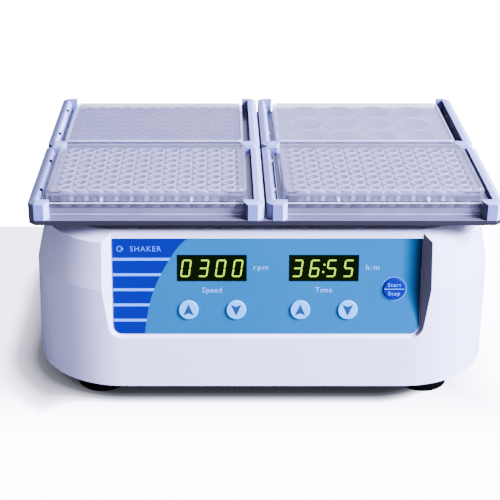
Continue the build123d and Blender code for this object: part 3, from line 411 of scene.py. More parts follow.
def rail_look(place):
    """Lavender plastic with painted light and shade: deeper on fronts and faces turned left, paler on
    slopes turned right, near-black painted shade on inner walls.
    """
    m = surface("rail_plastic_" + place, (0.28, 0.32, 0.49), 0.28, vary=0.03, grain=1200.0)
    nodes, links, shader, colour = paintable(m)
    plate = box_mm("microplate_" + place)
    middle = (plate[0].x + plate[1].x) / 2 * MM
    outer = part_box("holder_rails_front_left")[0][0]
    at, _ = geometry(nodes, links, "Position")
    turn, _ = geometry(nodes, links, "True Normal")
    # on the left holders only the right rail's inner wall gets this painted shade; on the right ones each
    # wall facing left gets it
    inner_shade_from = middle if place.endswith("left") else -1.0
    inner_wall_shade = product(nodes, links, [
        span(nodes, links, turn["X"], -0.88, -0.96),
        span(nodes, links, at["X"], inner_shade_from, inner_shade_from + 0.01),
    ])
    # painted shade on the crown's outer part on the two rails at the machine's left end
    crown = product(nodes, links, [
        span(nodes, links, turn["Z"], 0.30, 0.45),
        span(nodes, links, at["X"], outer + 0.0048, outer + 0.0040),
    ])
    # painted light and shade: fronts, crown, cut corners and walls turned left darker; slopes turned right
    # paler
    light_and_shade_coats = (
        (span(nodes, links, turn["Y"], -0.80, -0.95), (0.16, 0.19, 0.37)),  # fronts
        (span(nodes, links, turn["X"], 0.25, 0.40), (0.50, 0.55, 0.76)),  # slopes turned right
        (crown, (0.125, 0.140, 0.225)),
        (span(nodes, links, turn["X"], -0.50, -0.68), (0.010, 0.010, 0.035)),  # cut corners
        (span(nodes, links, turn["X"], -0.78, -0.92), (0.13, 0.15, 0.27)),  # walls turned left
        (inner_wall_shade, (0.010, 0.010, 0.032)),
    )
    for mask, coat in light_and_shade_coats:
        colour = coated(nodes, links, colour, mask, coat)
    links.new(colour, shader.inputs["Base Color"])
    return m


def lit_and_shaded_sheet(name, top, side, rough):
    """Sheet metal with painted light and shade: its upward faces are light, as a painted sheen, and its
    edges and underside dark, as painted shade.
    """
    m, nodes, links, shader = material(name)
    set_shader(shader, rough, 0.35, 0.5)
    turn, _ = geometry(nodes, links, "True Normal")
    up = maths(nodes, links, "GREATER_THAN", turn["Z"], 0.7)
    at = coordinates(nodes, links, (4.0, 500.0, 500.0))
    lines = noise(nodes, links, at, 1.0, 4.0, 0.7)
    mix = nodes.new("ShaderNodeMix")
    mix.data_type = "RGBA"
    links.new(up, mix.inputs["Factor"])
    for socket, colour, vary in (("A", side, 0.05), ("B", top, 0.08)):
        stops = [(0.3, shade(colour, 1.0 - vary)), (0.7, shade(colour, 1.0 + vary))]
        links.new(ramp(nodes, links, lines, stops), mix.inputs[socket])
    links.new(mix.outputs["Result"], shader.inputs["Base Color"])
    bump(nodes, links, shader, maths(nodes, links, "MULTIPLY", lines, up), 0.2, 0.02 * MM)
    return m


# the platform's paler top is a painted sheen; its dark edges and underside are painted shade
PLATFORM = lit_and_shaded_sheet("platform_sheet", (0.16, 0.16, 0.19), (0.021, 0.019, 0.020), 0.35)


def finish_node(name, look, bevel=0.0):
    """Give a CAD node its material and slot, and soften its edges by a bevel in millimetres."""
    o = frame["nodes"][name]
    o.data.materials.clear()
    o.data.materials.append(look)
    if bevel:
        mod = o.modifiers.new("edge", "BEVEL")
        mod.width = bevel * MM
        mod.segments = 2
        mod.limit_method = "ANGLE"
        mod.angle_limit = math.radians(38.0)
        mod.harden_normals = True
    return o


finish_node("top_housing", HOUSING)
finish_node("bottom_plate", STEEL)
finish_node("rubber_feet", RUBBER)
finish_node("chassis_plate", ALUMINIUM)
for name in (
    "chassis_screws", "base_screws", "panel_screws", "platform_screws", "standoffs", "counterweight",
    "drive_shaft", "motor_shaft", "bearing_outer_rings", "bearing_inner_rings", "eccentric_outer_ring",
):
    finish_node(name, STEEL)
for name in ("bearing_housing", "platform_hub", "driven_pulley", "motor_pulley"):
    finish_node(name, ALUMINIUM)
for name in ("idler_cups", "platform_bushes"):
    finish_node(name, BRONZE)
finish_node("motor_body", BLACK_METAL)
finish_node("drive_belt", BELT)
finish_node("platform_plate", PLATFORM, 0.35)
finish_node("panel_overlay", FILM)
finish_node("display_windows", WINDOW)
finish_node("display_modules", MODULE)
for name in ("panel_board", "control_board", "power_supply"):
    finish_node(name, BOARD)
for name in ("mains_inlet", "fuse_drawer", "switch_bezel"):
    finish_node(name, BLACK, 0.25)
finish_node("tact_switches", BLACK)
finish_node("rocker_switch", ROCKER, 0.5)
for name in ("speed_up", "speed_down", "time_up", "time_down"):
    finish_node(name + "_button", BUTTON)
finish_node("start_stop_button", START)
for place in PLACES:
    finish_node("holder_rails_" + place, rail_look(place), 0.3)
    if place.endswith("left"):
        finish_node("spring_pins_" + place, RUBBER)
    else:
        finish_node("spring_pins_" + place, PALE_PIN)
    finish_node("idler_crank_" + place, STEEL)


# ------------------------------------------------------------------ mesh helpers
def piece(name, verts, faces, look, body, slot, smooth=0.0):
    """A finished mesh piece in the row frame, given in millimetres, riding on one body.

    With smooth, only edges sharper than that many degrees stay hard.
    """
    mesh = bpy.data.meshes.new(name)
    mesh.from_pydata([(x * MM, y * MM, z * MM) for x, y, z in verts], [], faces)
    mesh.update()
    o = bpy.data.objects.new(name, mesh)
    scene.collection.objects.link(o)
    work = bmesh.new()
    work.from_mesh(mesh)
    bmesh.ops.remove_doubles(work, verts=work.verts, dist=1e-7)
    bmesh.ops.recalc_face_normals(work, faces=work.faces)
    if smooth:
        for f in work.faces:
            f.smooth = True
        for e in work.edges:
            if len(e.link_faces) == 2 and e.calc_face_angle(0.0) > math.radians(smooth):
                e.smooth = False
    work.to_mesh(mesh)
    work.free()
    mesh.materials.append(look)
    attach(o, body)
    return o


def on_panel(x, y, z):
    """A point of the leaning panel: x across, y up the slope, z out of the film's face."""
    return tuple(PANEL_EDGE + PANEL_X * x + PANEL_Y * (y - FILM_LOW) + PANEL_N * z)


def prisms(outlines, low, high):
    """Closed flat prisms standing on the panel: one for each outline of (x, y) points."""
    verts, faces = [], []
    for outline in outlines:
        n, base = len(outline), len(verts)
        verts += [on_panel(x, y, low) for x, y in outline]
        verts += [on_panel(x, y, high) for x, y in outline]
        faces.append([base + i for i in reversed(range(n))])
        faces.append([base + n + i for i in range(n)])
        for i in range(n):
            j = (i + 1) % n
            faces.append([base + i, base + j, base + n + j, base + n + i])
    return verts, faces


def disc(cx, cy, r, n):
    """A circle of n points on the panel."""
    angles = [2 * math.pi * i / n for i in range(n)]
    return [(cx + r * math.cos(a), cy + r * math.sin(a)) for a in angles]


def ring_on_panel(cx, cy, inner, outer, low, high, n=64):
    """A flat ring standing on the panel."""
    verts, faces = [], []
    for i in range(n):
        a = 2 * math.pi * i / n
        for r, z in ((inner, low), (outer, low), (outer, high), (inner, high)):
            verts.append(on_panel(cx + r * math.cos(a), cy + r * math.sin(a), z))
    for i in range(n):
        j = (i + 1) % n
        for k in range(4):
            m = (k + 1) % 4
            faces.append([4 * i + k, 4 * j + k, 4 * j + m, 4 * i + m])
    return verts, faces


PRINT_LOW, PRINT_HIGH = -0.02, 0.09
FONT_CAP = 0.69  # cap height of the built-in font at size 1


def lettering(name, text, cx, cy, height, look, body, slot, low=PRINT_LOW, high=PRINT_HIGH,
              spacing=1.08):
    """Plain raised print: cap height in millimetres, centred on the panel point."""
    curve = bpy.data.curves.new(name + "_curve", "FONT")
    curve.body = text
    curve.align_x = "CENTER"
    curve.size = 1.0
    curve.space_character = spacing
    curve.extrude = 0.5
    curve.resolution_u = 3
    temp = bpy.data.objects.new(name + "_temp", curve)
    scene.collection.objects.link(temp)
    bpy.context.view_layer.update()
    flat = bpy.data.meshes.new_from_object(temp.evaluated_get(bpy.context.evaluated_depsgraph_get()))
    verts = []
    for v in flat.vertices:
        x = cx + v.co.x * height / FONT_CAP
        y = cy + (v.co.y - FONT_CAP / 2) * height / FONT_CAP
        z = low + (v.co.z + 0.5) * (high - low)
        verts.append(on_panel(x, y, z))
    faces = [list(p.vertices) for p in flat.polygons]
    bpy.data.objects.remove(temp)
    bpy.data.curves.remove(curve)
    bpy.data.meshes.remove(flat)
    return piece(name, verts, faces, look, body, slot)


# ------------------------------------------------------------------ panel print
# points of the curved edge between the dark and the light area
SWEEP = [
    (-73.1, 1.1), (-71.8, 10.4), (-70.0, 20.0), (-67.1, 29.6), (-63.1, 38.5), (-56.8, 49.8), (-47.0, 61.5),
]


def sweep_x(y):
    """Where the curved edge lies at one height: one even arc through the points above."""
    total = 0.0
    for i, (xi, yi) in enumerate(SWEEP):
        weight = xi
        for j, (_, yj) in enumerate(SWEEP):
            if i != j:
                weight *= (y - yj) / (yi - yj)
        total += weight
    return total


AREA_HIGH = 0.05
CORNER_R = 5.2
EDGE_STEPS, CORNER_STEPS = 40, 8
dark_outline = []
for i in range(EDGE_STEPS + 1):
    y = FILM_LOW + (FILM_TOP - FILM_LOW) * i / EDGE_STEPS
    dark_outline.append((sweep_x(y), y))
dark_outline.append((FILM_LEFT, FILM_TOP))
for i in range(CORNER_STEPS + 1):
    a = math.pi + (math.pi / 2) * i / CORNER_STEPS
    corner_x, corner_y = FILM_LEFT + CORNER_R, FILM_LOW + CORNER_R
    dark_outline.append((corner_x + CORNER_R * math.cos(a), corner_y + CORNER_R * math.sin(a)))
piece("print_dark_area", *prisms([dark_outline], PRINT_LOW, AREA_HIGH), INK_DARK, "base", "panel_film")

LINE_HALF = 0.85
lines = []
for y in (48.65, 38.9, 29.35, 19.65, 9.8):
    low, high = y - LINE_HALF, y + LINE_HALF
    lines.append([(FILM_LEFT, low), (sweep_x(low), low), (sweep_x(high), high), (FILM_LEFT, high)])
piece("print_lines", *prisms(lines, PRINT_LOW, PRINT_HIGH), INK_LINE, "base", "panel_film")

TITLE_Y = 55.2
lettering("print_title", "SHAKER", -72.0, TITLE_Y, 3.3, INK_TITLE, "base", "panel_film", spacing=1.15)
# the mark is a ring with a dot on it, for a platform's round path
orbit_v, orbit_f = ring_on_panel(-87.6, TITLE_Y, 1.35, 1.85, PRINT_LOW, PRINT_HIGH, 32)
dot_v, dot_f = prisms([disc(-86.0, TITLE_Y, 0.75, 20)], PRINT_LOW, PRINT_HIGH + 0.02)
shift = len(orbit_v)
piece("print_orbit_mark", orbit_v + dot_v, orbit_f + [[i + shift for i in f] for f in dot_f],
      INK_TITLE, "base", "panel_film")
lettering("print_speed", "Speed", -31.8, 29.2, 3.3, INK_WHITE, "base", "panel_film")
lettering("print_time", "Time", 36.1, 29.3, 3.3, INK_WHITE, "base", "panel_film")
lettering("print_rpm", "rpm", -2.2, 43.6, 3.4, INK_WHITE, "base", "panel_film", spacing=1.25)
lettering("print_hours", "h:m", 65.4, 43.6, 3.4, INK_WHITE, "base", "panel_film", spacing=1.25)
START_AT = (78.9, 30.0)
piece("print_start_ring", *ring_on_panel(*START_AT, 7.1, 7.7, PRINT_LOW, 0.08),
      INK_RING, "base", "panel_film")

ARROWS = {
    "speed_up": (-46.2, 16.6), "speed_down": (-17.1, 16.6),
    "time_up": (22.0, 16.6), "time_down": (51.0, 16.6),
}
CAP_TOP = 1.1  # how far the buttons stand out of the film
CAP_PRINT = (CAP_TOP - 0.03, CAP_TOP + 0.06)
for name, (cx, cy) in ARROWS.items():
    flip = 1.0 if name.endswith("up") else -1.0
    arrow = [(0.0, 3.7), (-3.3, -3.5), (0.0, -2.1), (3.3, -3.5)]
    outline = [(cx + x, cy + flip * y) for x, y in arrow]
    if flip < 0:
        outline.reverse()
    piece("arrow_" + name, *prisms([outline], *CAP_PRINT), ARROW, name, "arrow_button_plastic")

left, right, low, high = START_AT[0] - 6.0, START_AT[0] + 6.0, START_AT[1] - 0.2, START_AT[1] + 0.2
start_line = [(left, low), (right, low), (right, high), (left, high)]
piece("start_line", *prisms([start_line], *CAP_PRINT), INK_LINE, "start_stop", "start_button_plastic")
for word, drop in (("Start", 2.7), ("Stop", -2.7)):
    lettering(word.lower() + "_word", word, START_AT[0], START_AT[1] + drop, 2.4, INK_LINE,
              "start_stop", "start_button_plastic", *CAP_PRINT, spacing=1.2)

# ------------------------------------------------------------------ lit digits
DIGIT_H, DIGIT_W, BAR, LEAN = 10.9, 5.7, 0.85, math.tan(math.radians(8.0))
SEGMENTS = {"0": "abcdef", "3": "abcdg", "5": "acdfg", "6": "acdefg"}


def bar_outline(x0, y0, x1, y1):
    """One pointed bar of a seven-bar digit."""
    length = math.hypot(x1 - x0, y1 - y0)
    ux, uy = (x1 - x0) / length, (y1 - y0) / length
    gap, half = 0.14, BAR / 2
    a, b, point = gap, length - gap, half * 0.8
    shape = [
        (a, 0.0), (a + point, -half), (b - point, -half), (b, 0.0), (b - point, half), (a + point, half),
    ]
    return [(x0 + ux * s - uy * t, y0 + uy * s + ux * t) for s, t in shape]


def digit_bars(symbol, cx, cy):
    """The lit bars of one leaning digit."""
    w, h = (DIGIT_W - BAR) / 2, (DIGIT_H - BAR) / 2
    ends = {
        "a": (-w, h, w, h), "g": (-w, 0.0, w, 0.0), "d": (-w, -h, w, -h),
        "f": (-w, 0.0, -w, h), "b": (w, 0.0, w, h), "e": (-w, -h, -w, 0.0), "c": (w, -h, w, 0.0),
    }
    bars = []
    for key in SEGMENTS[symbol]:
        outline = bar_outline(*ends[key])
        bars.append([(cx + x + y * LEAN, cy + y) for x, y in outline])
    return bars


DIGIT_Y = 42.9
lit = []
for symbol, cx in zip("0300", (-47.6, -36.9, -26.6, -16.3)):
    lit += digit_bars(symbol, cx, DIGIT_Y)
for symbol, cx in zip("3655", (20.1, 30.4, 40.6, 50.9)):
    lit += digit_bars(symbol, cx, DIGIT_Y)
for rise in (2.3, -2.3):
    lit.append(disc(35.9 + rise * LEAN, DIGIT_Y + rise, 0.62, 16))
piece("lit_digits", *prisms(lit, -0.12, -0.02), DIGIT, "base", "display_black")


# ------------------------------------------------------------------ clear plates
CORNER_POINTS = 6


def rounded(half_x, half_y, r, cx, cy):
    """A rectangle with round corners, as points all round it."""
    points = []
    for sx, sy, start in ((1, 1, 0.0), (-1, 1, 90.0), (-1, -1, 180.0), (1, -1, 270.0)):
        for i in range(CORNER_POINTS):
            a = math.radians(start + 90.0 * i / (CORNER_POINTS - 1))
            corner_x, corner_y = cx + sx * (half_x - r), cy + sy * (half_y - r)
            points.append((corner_x + r * math.cos(a), corner_y + r * math.sin(a)))
    return points


def lofted(cx, cy, rings, closed):
    """Rounded-rectangle rings (half x, half y, corner, z) joined in order; capped unless closed."""
    verts, faces = [], []
    count = 4 * CORNER_POINTS
    for half_x, half_y, r, z in rings:
        verts += [(x, y, z) for x, y in rounded(half_x, half_y, r, cx, cy)]
    total = len(rings)
    for k in range(total if closed else total - 1):
        a, b = k * count, ((k + 1) % total) * count
        for i in range(count):
            j = (i + 1) % count
            faces.append([a + i, a + j, b + j, b + i])
    if not closed:
        faces.append([i for i in reversed(range(count))])
        faces.append([(total - 1) * count + i for i in range(count)])
    return verts, faces


def well_block(cx, cy, seat, wells, level, half):
    """Deck with open-topped wells hanging from it, closed all round."""
    across, down, pitch, bore, tube, segments = wells
    deck_low, deck_top = level["deck"] - 1.2, level["deck"]
    rim_top, floor_in = level["rim"], level["floor"]
    xs = [cx - half[0]] + [cx + pitch * (i - across / 2.0) for i in range(1, across)] + [cx + half[0]]
    ys = [cy - half[1]] + [cy + pitch * (i - down / 2.0) for i in range(1, down)] + [cy + half[1]]
    verts, faces = [], []
    quarter = segments // 4
    angles = [-math.pi / 4 + 2 * math.pi * i / segments for i in range(segments)]

    def add_loops(loops):
        """Join closed loops of points, given with their heights, cap the last, and return the first."""
        first = len(verts)
        for points, z in loops:
            verts.extend((x, y, seat + z) for x, y in points)
        for k in range(len(loops) - 1):
            a, b = first + k * segments, first + (k + 1) * segments
            for i in range(segments):
                j = (i + 1) % segments
                faces.append([a + i, a + j, b + j, b + i])
        last = first + (len(loops) - 1) * segments
        faces.append([last + i for i in range(segments)])
        return first

    for ix in range(across):
        for iy in range(down):
            wx = cx + pitch * (ix - (across - 1) / 2.0)
            wy = cy + pitch * (iy - (down - 1) / 2.0)
            x0, x1, y0, y1 = xs[ix], xs[ix + 1], ys[iy], ys[iy + 1]
            corners = [(x1, y0), (x1, y1), (x0, y1), (x0, y0)]
            square = []
            for side in range(4):
                (ax, ay), (bx, by) = corners[side], corners[(side + 1) % 4]
                for i in range(quarter):
                    square.append((ax + (bx - ax) * i / quarter, ay + (by - ay) * i / quarter))

            def circle(r):
                """A circle round this well's axis."""
                return [(wx + r * math.cos(a), wy + r * math.sin(a)) for a in angles]

            top = add_loops([
                (square, deck_top), (circle(tube), deck_top), (circle(tube), rim_top - 0.15),
                (circle(tube - 0.15), rim_top), (circle(bore + 0.1), rim_top),
                (circle(bore), rim_top - 0.2), (circle(bore - 0.15), floor_in + 0.5),
                (circle(bore - 0.6), floor_in),
            ])
            under = add_loops([
                (square, deck_low), (circle(tube), deck_low), (circle(tube - 0.3), floor_in - 1.1),
            ])
            outer_sides = {0: ix == across - 1, 1: iy == down - 1, 2: ix == 0, 3: iy == 0}
            for side, at_edge in outer_sides.items():
                if at_edge:
                    for i in range(side * quarter, (side + 1) * quarter):
                        j = (i + 1) % segments
                        faces.append([top + i, under + i, under + j, top + j])
    return verts, faces


def paint(o, looks, part_of):
    """Give a piece more materials, and each face the one chosen from the face's centre."""
    for look in looks:
        o.data.materials.append(look)
    for polygon in o.data.polygons:
        polygon.material_index = part_of(polygon.center)


def blocks(boxes):
    """Small separate rectangular ribs, each given by its two corners."""
    verts, faces = [], []
    for (x0, y0, z0), (x1, y1, z1) in boxes:
        n = len(verts)
        verts += [(x0, y0, z0), (x1, y0, z0), (x1, y1, z0), (x0, y1, z0),
                  (x0, y0, z1), (x1, y0, z1), (x1, y1, z1), (x0, y1, z1)]
        faces += [[n + k for k in quad] for quad in (
            (3, 2, 1, 0), (4, 5, 6, 7), (0, 1, 5, 4), (1, 2, 6, 5), (2, 3, 7, 6), (3, 0, 4, 7),
        )]
    return verts, faces


def ring(half, inset, r, z):
    """One rounded-rectangle ring for a loft, set in from a half size."""
    return half[0] - inset, half[1] - inset, r, z


PITCH = 9.0  # between the wells of a 96-well plate
# wells across and down, pitch, bore radius, tube radius, facets
WELLS_96 = (12, 8, PITCH, 3.45, 4.0, 24)
WELLS_12 = (4, 3, 25.0, 11.05, 11.9, 48)
# heights above the seat: skirt's top, deck, wells' rims, plate's top, wells' floors
STANDARD = {"skirt": 8.6, "deck": 12.6, "rim": 14.0, "top": 14.2, "floor": 3.6}
LOW = {"skirt": 3.2, "deck": 6.8, "rim": 8.2, "top": 8.4, "floor": 2.2}
RIM_HALF = (59.1, 38.7)
WALL = 1.2
SKIRT_SPLIT = 0.62  # the skirt is darker above this share of its height

for place in PLACES:
    in_front = place.startswith("front")
    level = STANDARD if in_front else LOW
    plate_low, plate_high = box_mm("microplate_" + place)
    cx, cy, seat = (plate_low.x + plate_high.x) / 2, (plate_low.y + plate_high.y) / 2, plate_low.z
    foot = ((plate_high.x - plate_low.x) / 2, (plate_high.y - plate_low.y) / 2)
    body = "plate_" + place
    inner = (RIM_HALF[0] - WALL + 0.05, RIM_HALF[1] - WALL + 0.05)
    wells = WELLS_12 if place == "back_right" else WELLS_96
    verts, faces = well_block(cx, cy, seat, wells, level, inner)
    block = piece("wells_" + place, verts, faces, FROST, body, "clear_styrene", smooth=40.0)
    across, down, pitch, bore = wells[:4]

    def well_part(centre):
        """Which part of a well one face belongs to: deck, rim, bore, floor or tube."""
        height = centre.z / MM - seat
        along = (centre.x / MM - cx) / pitch + (across - 1) / 2.0
        back = (centre.y / MM - cy) / pitch + (down - 1) / 2.0
        reach = pitch * math.hypot(along - round(along), back - round(back))
        if height > level["rim"] - 0.25:
            return 1
        if reach < bore + 0.02 and height > level["floor"] + 0.6:
            return 2
        if reach < bore and height > level["floor"] - 0.2:
            return 3
        return 4 if height < level["deck"] - 1.3 else 0

    paint(block, (RIM, BORE, WELL_FLOOR, TUBE), well_part)
    # skirt, step and rim wall in one closed band
    skirt, top = seat + level["skirt"], seat + level["top"]
    band = [
        ring(foot, 0.0, 3.2, seat), ring(foot, 0.0, 3.2, seat + 1.2), ring(foot, 0.4, 3.0, seat + 1.6),
        ring(foot, 0.45, 3.0, seat + level["skirt"] * SKIRT_SPLIT), ring(foot, 0.5, 3.0, skirt - 0.4),
        ring(foot, 0.9, 3.0, skirt), ring(RIM_HALF, -0.3, 3.2, skirt),
        ring(RIM_HALF, 0.0, 3.2, skirt + 0.3), ring(RIM_HALF, 0.0, 3.2, top - 0.2),
        ring(RIM_HALF, 0.2, 3.0, top), ring(RIM_HALF, 1.0, 2.2, top),
        ring(RIM_HALF, WALL, 2.0, top - 0.2), ring(RIM_HALF, WALL, 2.0, skirt - WALL),
        ring(foot, 1.5, 2.0, skirt - WALL), ring(foot, 1.2, 2.0, seat),
    ]
    shell = piece("skirt_" + place, *lofted(cx, cy, band, True), SKIRT, body, "clear_styrene",
                  smooth=30.0)

    def shell_part(centre):
        """Milky skirt, darker towards its top; foot step and edge painted bright as highlights; clear
        ledge and wall.
        """
        height = centre.z / MM - seat
        if abs(height - level["skirt"] + 0.2) < 0.15:
            return 2
        if abs(height - 1.4) < 0.15:
            return 4
        if height > level["skirt"] - 0.05:
            return 1
        return 3 if height > level["skirt"] * SKIRT_SPLIT else 0

    paint(shell, (WALL_CLEAR, BRIGHT_EDGE, SKIRT_HIGH, STEP_EDGE), shell_part)
    if place != "back_right":
        # one short rib beside each row of wells, at the right end, painted near black as the shade of the
        # moulded row letters
        edge_x, low, high = cx + PITCH * 6, seat + level["deck"] - 0.1, seat + level["rim"] - 0.2
        rows_y = [cy + PITCH * (i - 3.5) for i in range(8)]
        rows = [((edge_x - 0.2, y - 1.5, low), (edge_x + 1.5, y + 1.5, high)) for y in rows_y]
        piece("row_marks_" + place, *blocks(rows), MOULD_MARK_SHADE, body, "clear_styrene")
    # behind the front wall: a dark key at each end, and a gusset painted bright as a highlight between
    # neighbouring wells
    wall_y, wall_x = cy - inner[1] + 0.1, inner[0] - 0.3
    low, high = skirt + 0.2, seat + level["rim"] - 0.3
    ends = [(-wall_x, -wall_x + 6.0), (wall_x - 9.0, wall_x)]
    keys = [((cx + x0, wall_y, low), (cx + x1, wall_y + 0.5, high)) for x0, x1 in ends]
    piece("corner_keys_" + place, *blocks(keys), KEY, body, "clear_styrene")
    if in_front:
        low, high = skirt - 1.0, seat + level["rim"] - 0.1
        ribs_x = [cx + PITCH * (i - 5.0) for i in range(10)]
        ribs = [((x - 1.15, wall_y + 0.6, low), (x + 1.15, wall_y + 1.5, high)) for x in ribs_x]
        piece("gussets_" + place, *blocks(ribs), GUSSET_HIGHLIGHT, body, "clear_styrene")
    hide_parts("microplate_" + place)

    lid_low, lid_high = box_mm("plate_lid_" + place)
    lid_half = ((lid_high.x - lid_low.x) / 2, (lid_high.y - lid_low.y) / 2)
    brim, crown = lid_low.z, lid_high.z
    lid_rings = [
        ring(lid_half, 3.0, 2.0, crown - 1.5), ring(lid_half, 1.4, 2.2, crown - 1.5),
        ring(lid_half, 1.1, 2.2, crown - 1.8), ring(lid_half, 1.1, 2.2, brim),
        ring(lid_half, 0.0, 3.2, brim), ring(lid_half, 0.0, 3.2, brim + 0.8),
        ring(lid_half, 0.3, 3.2, brim + 1.1), ring(lid_half, 0.3, 3.2, crown - 1.1),
        ring(lid_half, 0.7, 3.0, crown - 0.7), ring(lid_half, 1.2, 3.0, crown - 0.7),
        ring(lid_half, 1.5, 3.0, crown), ring(lid_half, 2.3, 2.4, crown),
        ring(lid_half, 2.5, 2.2, crown - 0.7),
    ]
    top_look = LID if in_front else LID_MISTY if place == "back_right" else LID_HAZY
    lid = piece("lid_" + place, *lofted(cx, cy, lid_rings, False), top_look,
                "lid_" + place, "clear_styrene", smooth=30.0)

    def lid_part(centre):
        """Raised bead round the top painted bright as a highlight; on the back lids the far bead is
        painted dark and the near wall dusky, as painted shade.
        """
        height, across_x, past = centre.z / MM, centre.x / MM - cx, centre.y / MM - cy
        raised = height > crown - 0.75
        if not in_front and raised and past > lid_half[1] - 2.6:
            return 2
        if not in_front and height < crown - 0.75 and past < 0.5 - lid_half[1]:
            return 3
        if abs(across_x) < lid_half[0] - 3.0 and abs(past) < lid_half[1] - 3.0:
            return 0
        return 1 if raised else 0

    paint(lid, (LID_EDGE if in_front else BACK_EDGE, DARK_EDGE, NEAR_WALL), lid_part)
    tab_at = (-27.0, 27.0) if in_front else (-27.0, 0.0, 27.0)
    near_y, far_y = cy - lid_half[1] - 0.5, cy - lid_half[1] + 0.5
    tabs = [((cx + t - 0.5, near_y, brim - 0.2), (cx + t + 0.5, far_y, brim + 1.8)) for t in tab_at]
    piece("lid_tabs_" + place, *blocks(tabs), RIM, "lid_" + place, "clear_styrene")
    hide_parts("plate_lid_" + place)


# ------------------------------------------------------------------ studio
def emitter(name, colour, strength):
    """A material that only shines."""
    m = bpy.data.materials.new(name)
    m.use_nodes = True
    m.node_tree.nodes.clear()
    out = m.node_tree.nodes.new("ShaderNodeOutputMaterial")
    e = m.node_tree.nodes.new("ShaderNodeEmission")
    e.inputs["Color"].default_value = (*colour, 1.0)
    e.inputs["Strength"].default_value = strength
    m.node_tree.links.new(e.outputs["Emission"], out.inputs["Surface"])
    return m


def stage_sheet(name, corners, look, lights_object, seen=True):
    """A flat stage sheet; one that does not light the object is seen by the camera alone."""
    mesh = bpy.data.meshes.new(name)
    mesh.from_pydata(corners, [], [list(range(len(corners)))])
    mesh.materials.append(look)
    o = bpy.data.objects.new(name, mesh)
    scene.collection.objects.link(o)
    o.visible_camera = seen
    o.visible_diffuse = lights_object
    o.visible_glossy = lights_object
    o.visible_transmission = lights_object
    o.visible_shadow = lights_object
    return o


TABLE_FULL = 16.0  # glow of the open table
TABLE_REAR = 4.6  # glow behind the machine's left side
TABLE_GAIN = 11.5  # what the front and the right add to it
SHADOW_STEPS = ((0.0, 0.035), (0.16, 0.045), (0.28, 0.07), (0.43, 0.24), (0.57, 1.35), (0.71, 5.2))


def table_look():
    """Pale table that glows, with a painted soft shadow to the front and left, where the machine would
    throw it.
    """
    m, nodes, links, shader = material("table_pale")
    set_shader(shader, 0.9, spec=0.0)
    shader.inputs["Base Color"].default_value = (0.0, 0.0, 0.0, 1.0)
    at, _ = geometry(nodes, links, "Position")
    across, deep = at["X"], at["Y"]
    base_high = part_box("top_housing")[1]
    corner = 0.058
    # distance outside the housing's plan, a rectangle with round corners
    squares = []
    for socket, half in ((across, base_high[0] - corner), (deep, base_high[1] - corner)):
        past = maths(nodes, links, "SUBTRACT", maths(nodes, links, "ABSOLUTE", socket), half)
        squares.append(maths(nodes, links, "POWER", maths(nodes, links, "MAXIMUM", past, 0.0), 2.0))
    gap = maths(nodes, links, "SQRT", maths(nodes, links, "ADD", squares[0], squares[1]))
    gap = maths(nodes, links, "SUBTRACT", gap, corner)
    # the shadow spreads to the left and stays short on the right
    gap = maths(nodes, links, "MULTIPLY", gap, span(nodes, links, across, -0.09, -0.14, 1.0, 0.26))
    gap = maths(nodes, links, "ADD", gap, span(nodes, links, across, 0.07, 0.13, 0.0, 0.02))
    near = span(nodes, links, gap, -0.010, 0.015, kind="LINEAR")
    levels = (*SHADOW_STEPS, (0.85, TABLE_FULL))
    shadow = ramp(nodes, links, near, [(stop, (v / TABLE_FULL,) * 3) for stop, v in levels])
    shadow = maths(nodes, links, "MULTIPLY", shadow, TABLE_FULL)
    right = span(nodes, links, across, 0.10, 0.18, 0.0, TABLE_GAIN)
    front = span(nodes, links, deep, -0.07, -0.17, 0.0, TABLE_GAIN)
    level = maths(nodes, links, "ADD", maths(nodes, links, "MAXIMUM", right, front), TABLE_REAR)
    links.new(maths(nodes, links, "MINIMUM", shadow, level), shader.inputs["Emission Strength"])
    shader.inputs["Emission Color"].default_value = (0.89, 0.89, 1.1, 1.0)
    return m


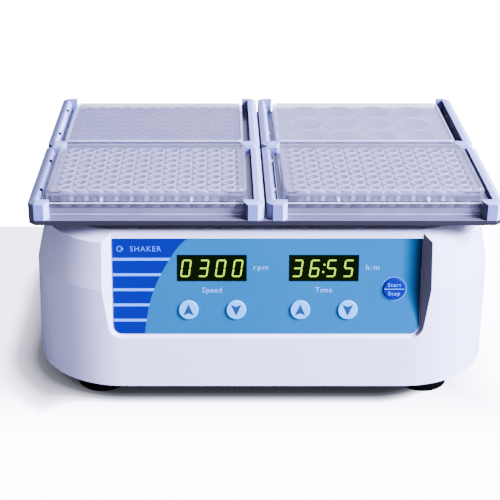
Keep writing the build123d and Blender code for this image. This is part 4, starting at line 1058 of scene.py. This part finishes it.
TABLE = [(-3.0, -3.0, 0.0), (3.0, -3.0, 0.0), (3.0, 0.15, 0.0), (-3.0, 0.15, 0.0)]
BELOW = [(x, y, -0.0003) for x, y, z in TABLE]  # throws the light back, unseen by the camera
BACK = [(-2.4, 2.8, -1.7), (2.4, 2.8, -1.7), (2.4, 2.8, 0.25), (-2.4, 2.8, 0.25)]
stage_sheet("table", TABLE, table_look(), False)
stage_sheet("table_bounce", BELOW, surface("table_plain", (0.21, 0.21, 0.23), 0.7), True, seen=False)
BACK_GLOW = 17.0
stage_sheet("backdrop", BACK, emitter("backdrop_white", (1.0, 1.0, 1.0), BACK_GLOW), False)


def area_light(name, place, aim, size, power, colour):
    """A rectangular soft light turned towards a point."""
    data = bpy.data.lights.new(name, "AREA")
    data.shape = "RECTANGLE"
    data.size, data.size_y = size
    data.energy = power
    data.color = colour
    o = bpy.data.objects.new(name, data)
    scene.collection.objects.link(o)
    o.location = place
    o.rotation_euler = (Vector(aim) - Vector(place)).to_track_quat("-Z", "Y").to_euler()
    return o


KEY_AT, KEY_AIM, KEY_SIZE = (1.36, -0.80, 1.15), (0.0, 0.0, 0.08), (0.7, 0.9)
KEY_WATTS, KEY_COLOUR = 400.0, (0.54, 0.54, 1.0)
area_light("key_right", KEY_AT, KEY_AIM, KEY_SIZE, KEY_WATTS, KEY_COLOUR)

# the room is dim on the left and bright on the right, above and behind
ROOM = [(0.10, (0.06, 0.06, 0.08)), (0.40, (0.29, 0.283, 0.45)), (0.80, (1.0, 1.0, 1.8))]
world = bpy.data.worlds.new("studio")
scene.world = world
world.use_nodes = True
wn, wl = world.node_tree.nodes, world.node_tree.links
wn.clear()
w_out = wn.new("ShaderNodeOutputWorld")
w_bg = wn.new("ShaderNodeBackground")
w_at = wn.new("ShaderNodeTexCoord")
w_split = wn.new("ShaderNodeSeparateXYZ")
wl.new(w_at.outputs["Generated"], w_split.inputs["Vector"])
side = span(wn, wl, w_split.outputs["X"], -1.0, 1.0, kind="LINEAR")
wl.new(ramp(wn, wl, side, ROOM), w_bg.inputs["Color"])
above = span(wn, wl, w_split.outputs["Z"], 0.0, 1.0, 0.85, 1.9, "LINEAR")
behind = span(wn, wl, w_split.outputs["Y"], -1.0, 1.0, 0.55, 1.5, "LINEAR")
wl.new(maths(wn, wl, "MULTIPLY", above, behind), w_bg.inputs["Strength"])
wl.new(w_bg.outputs["Background"], w_out.inputs["Surface"])
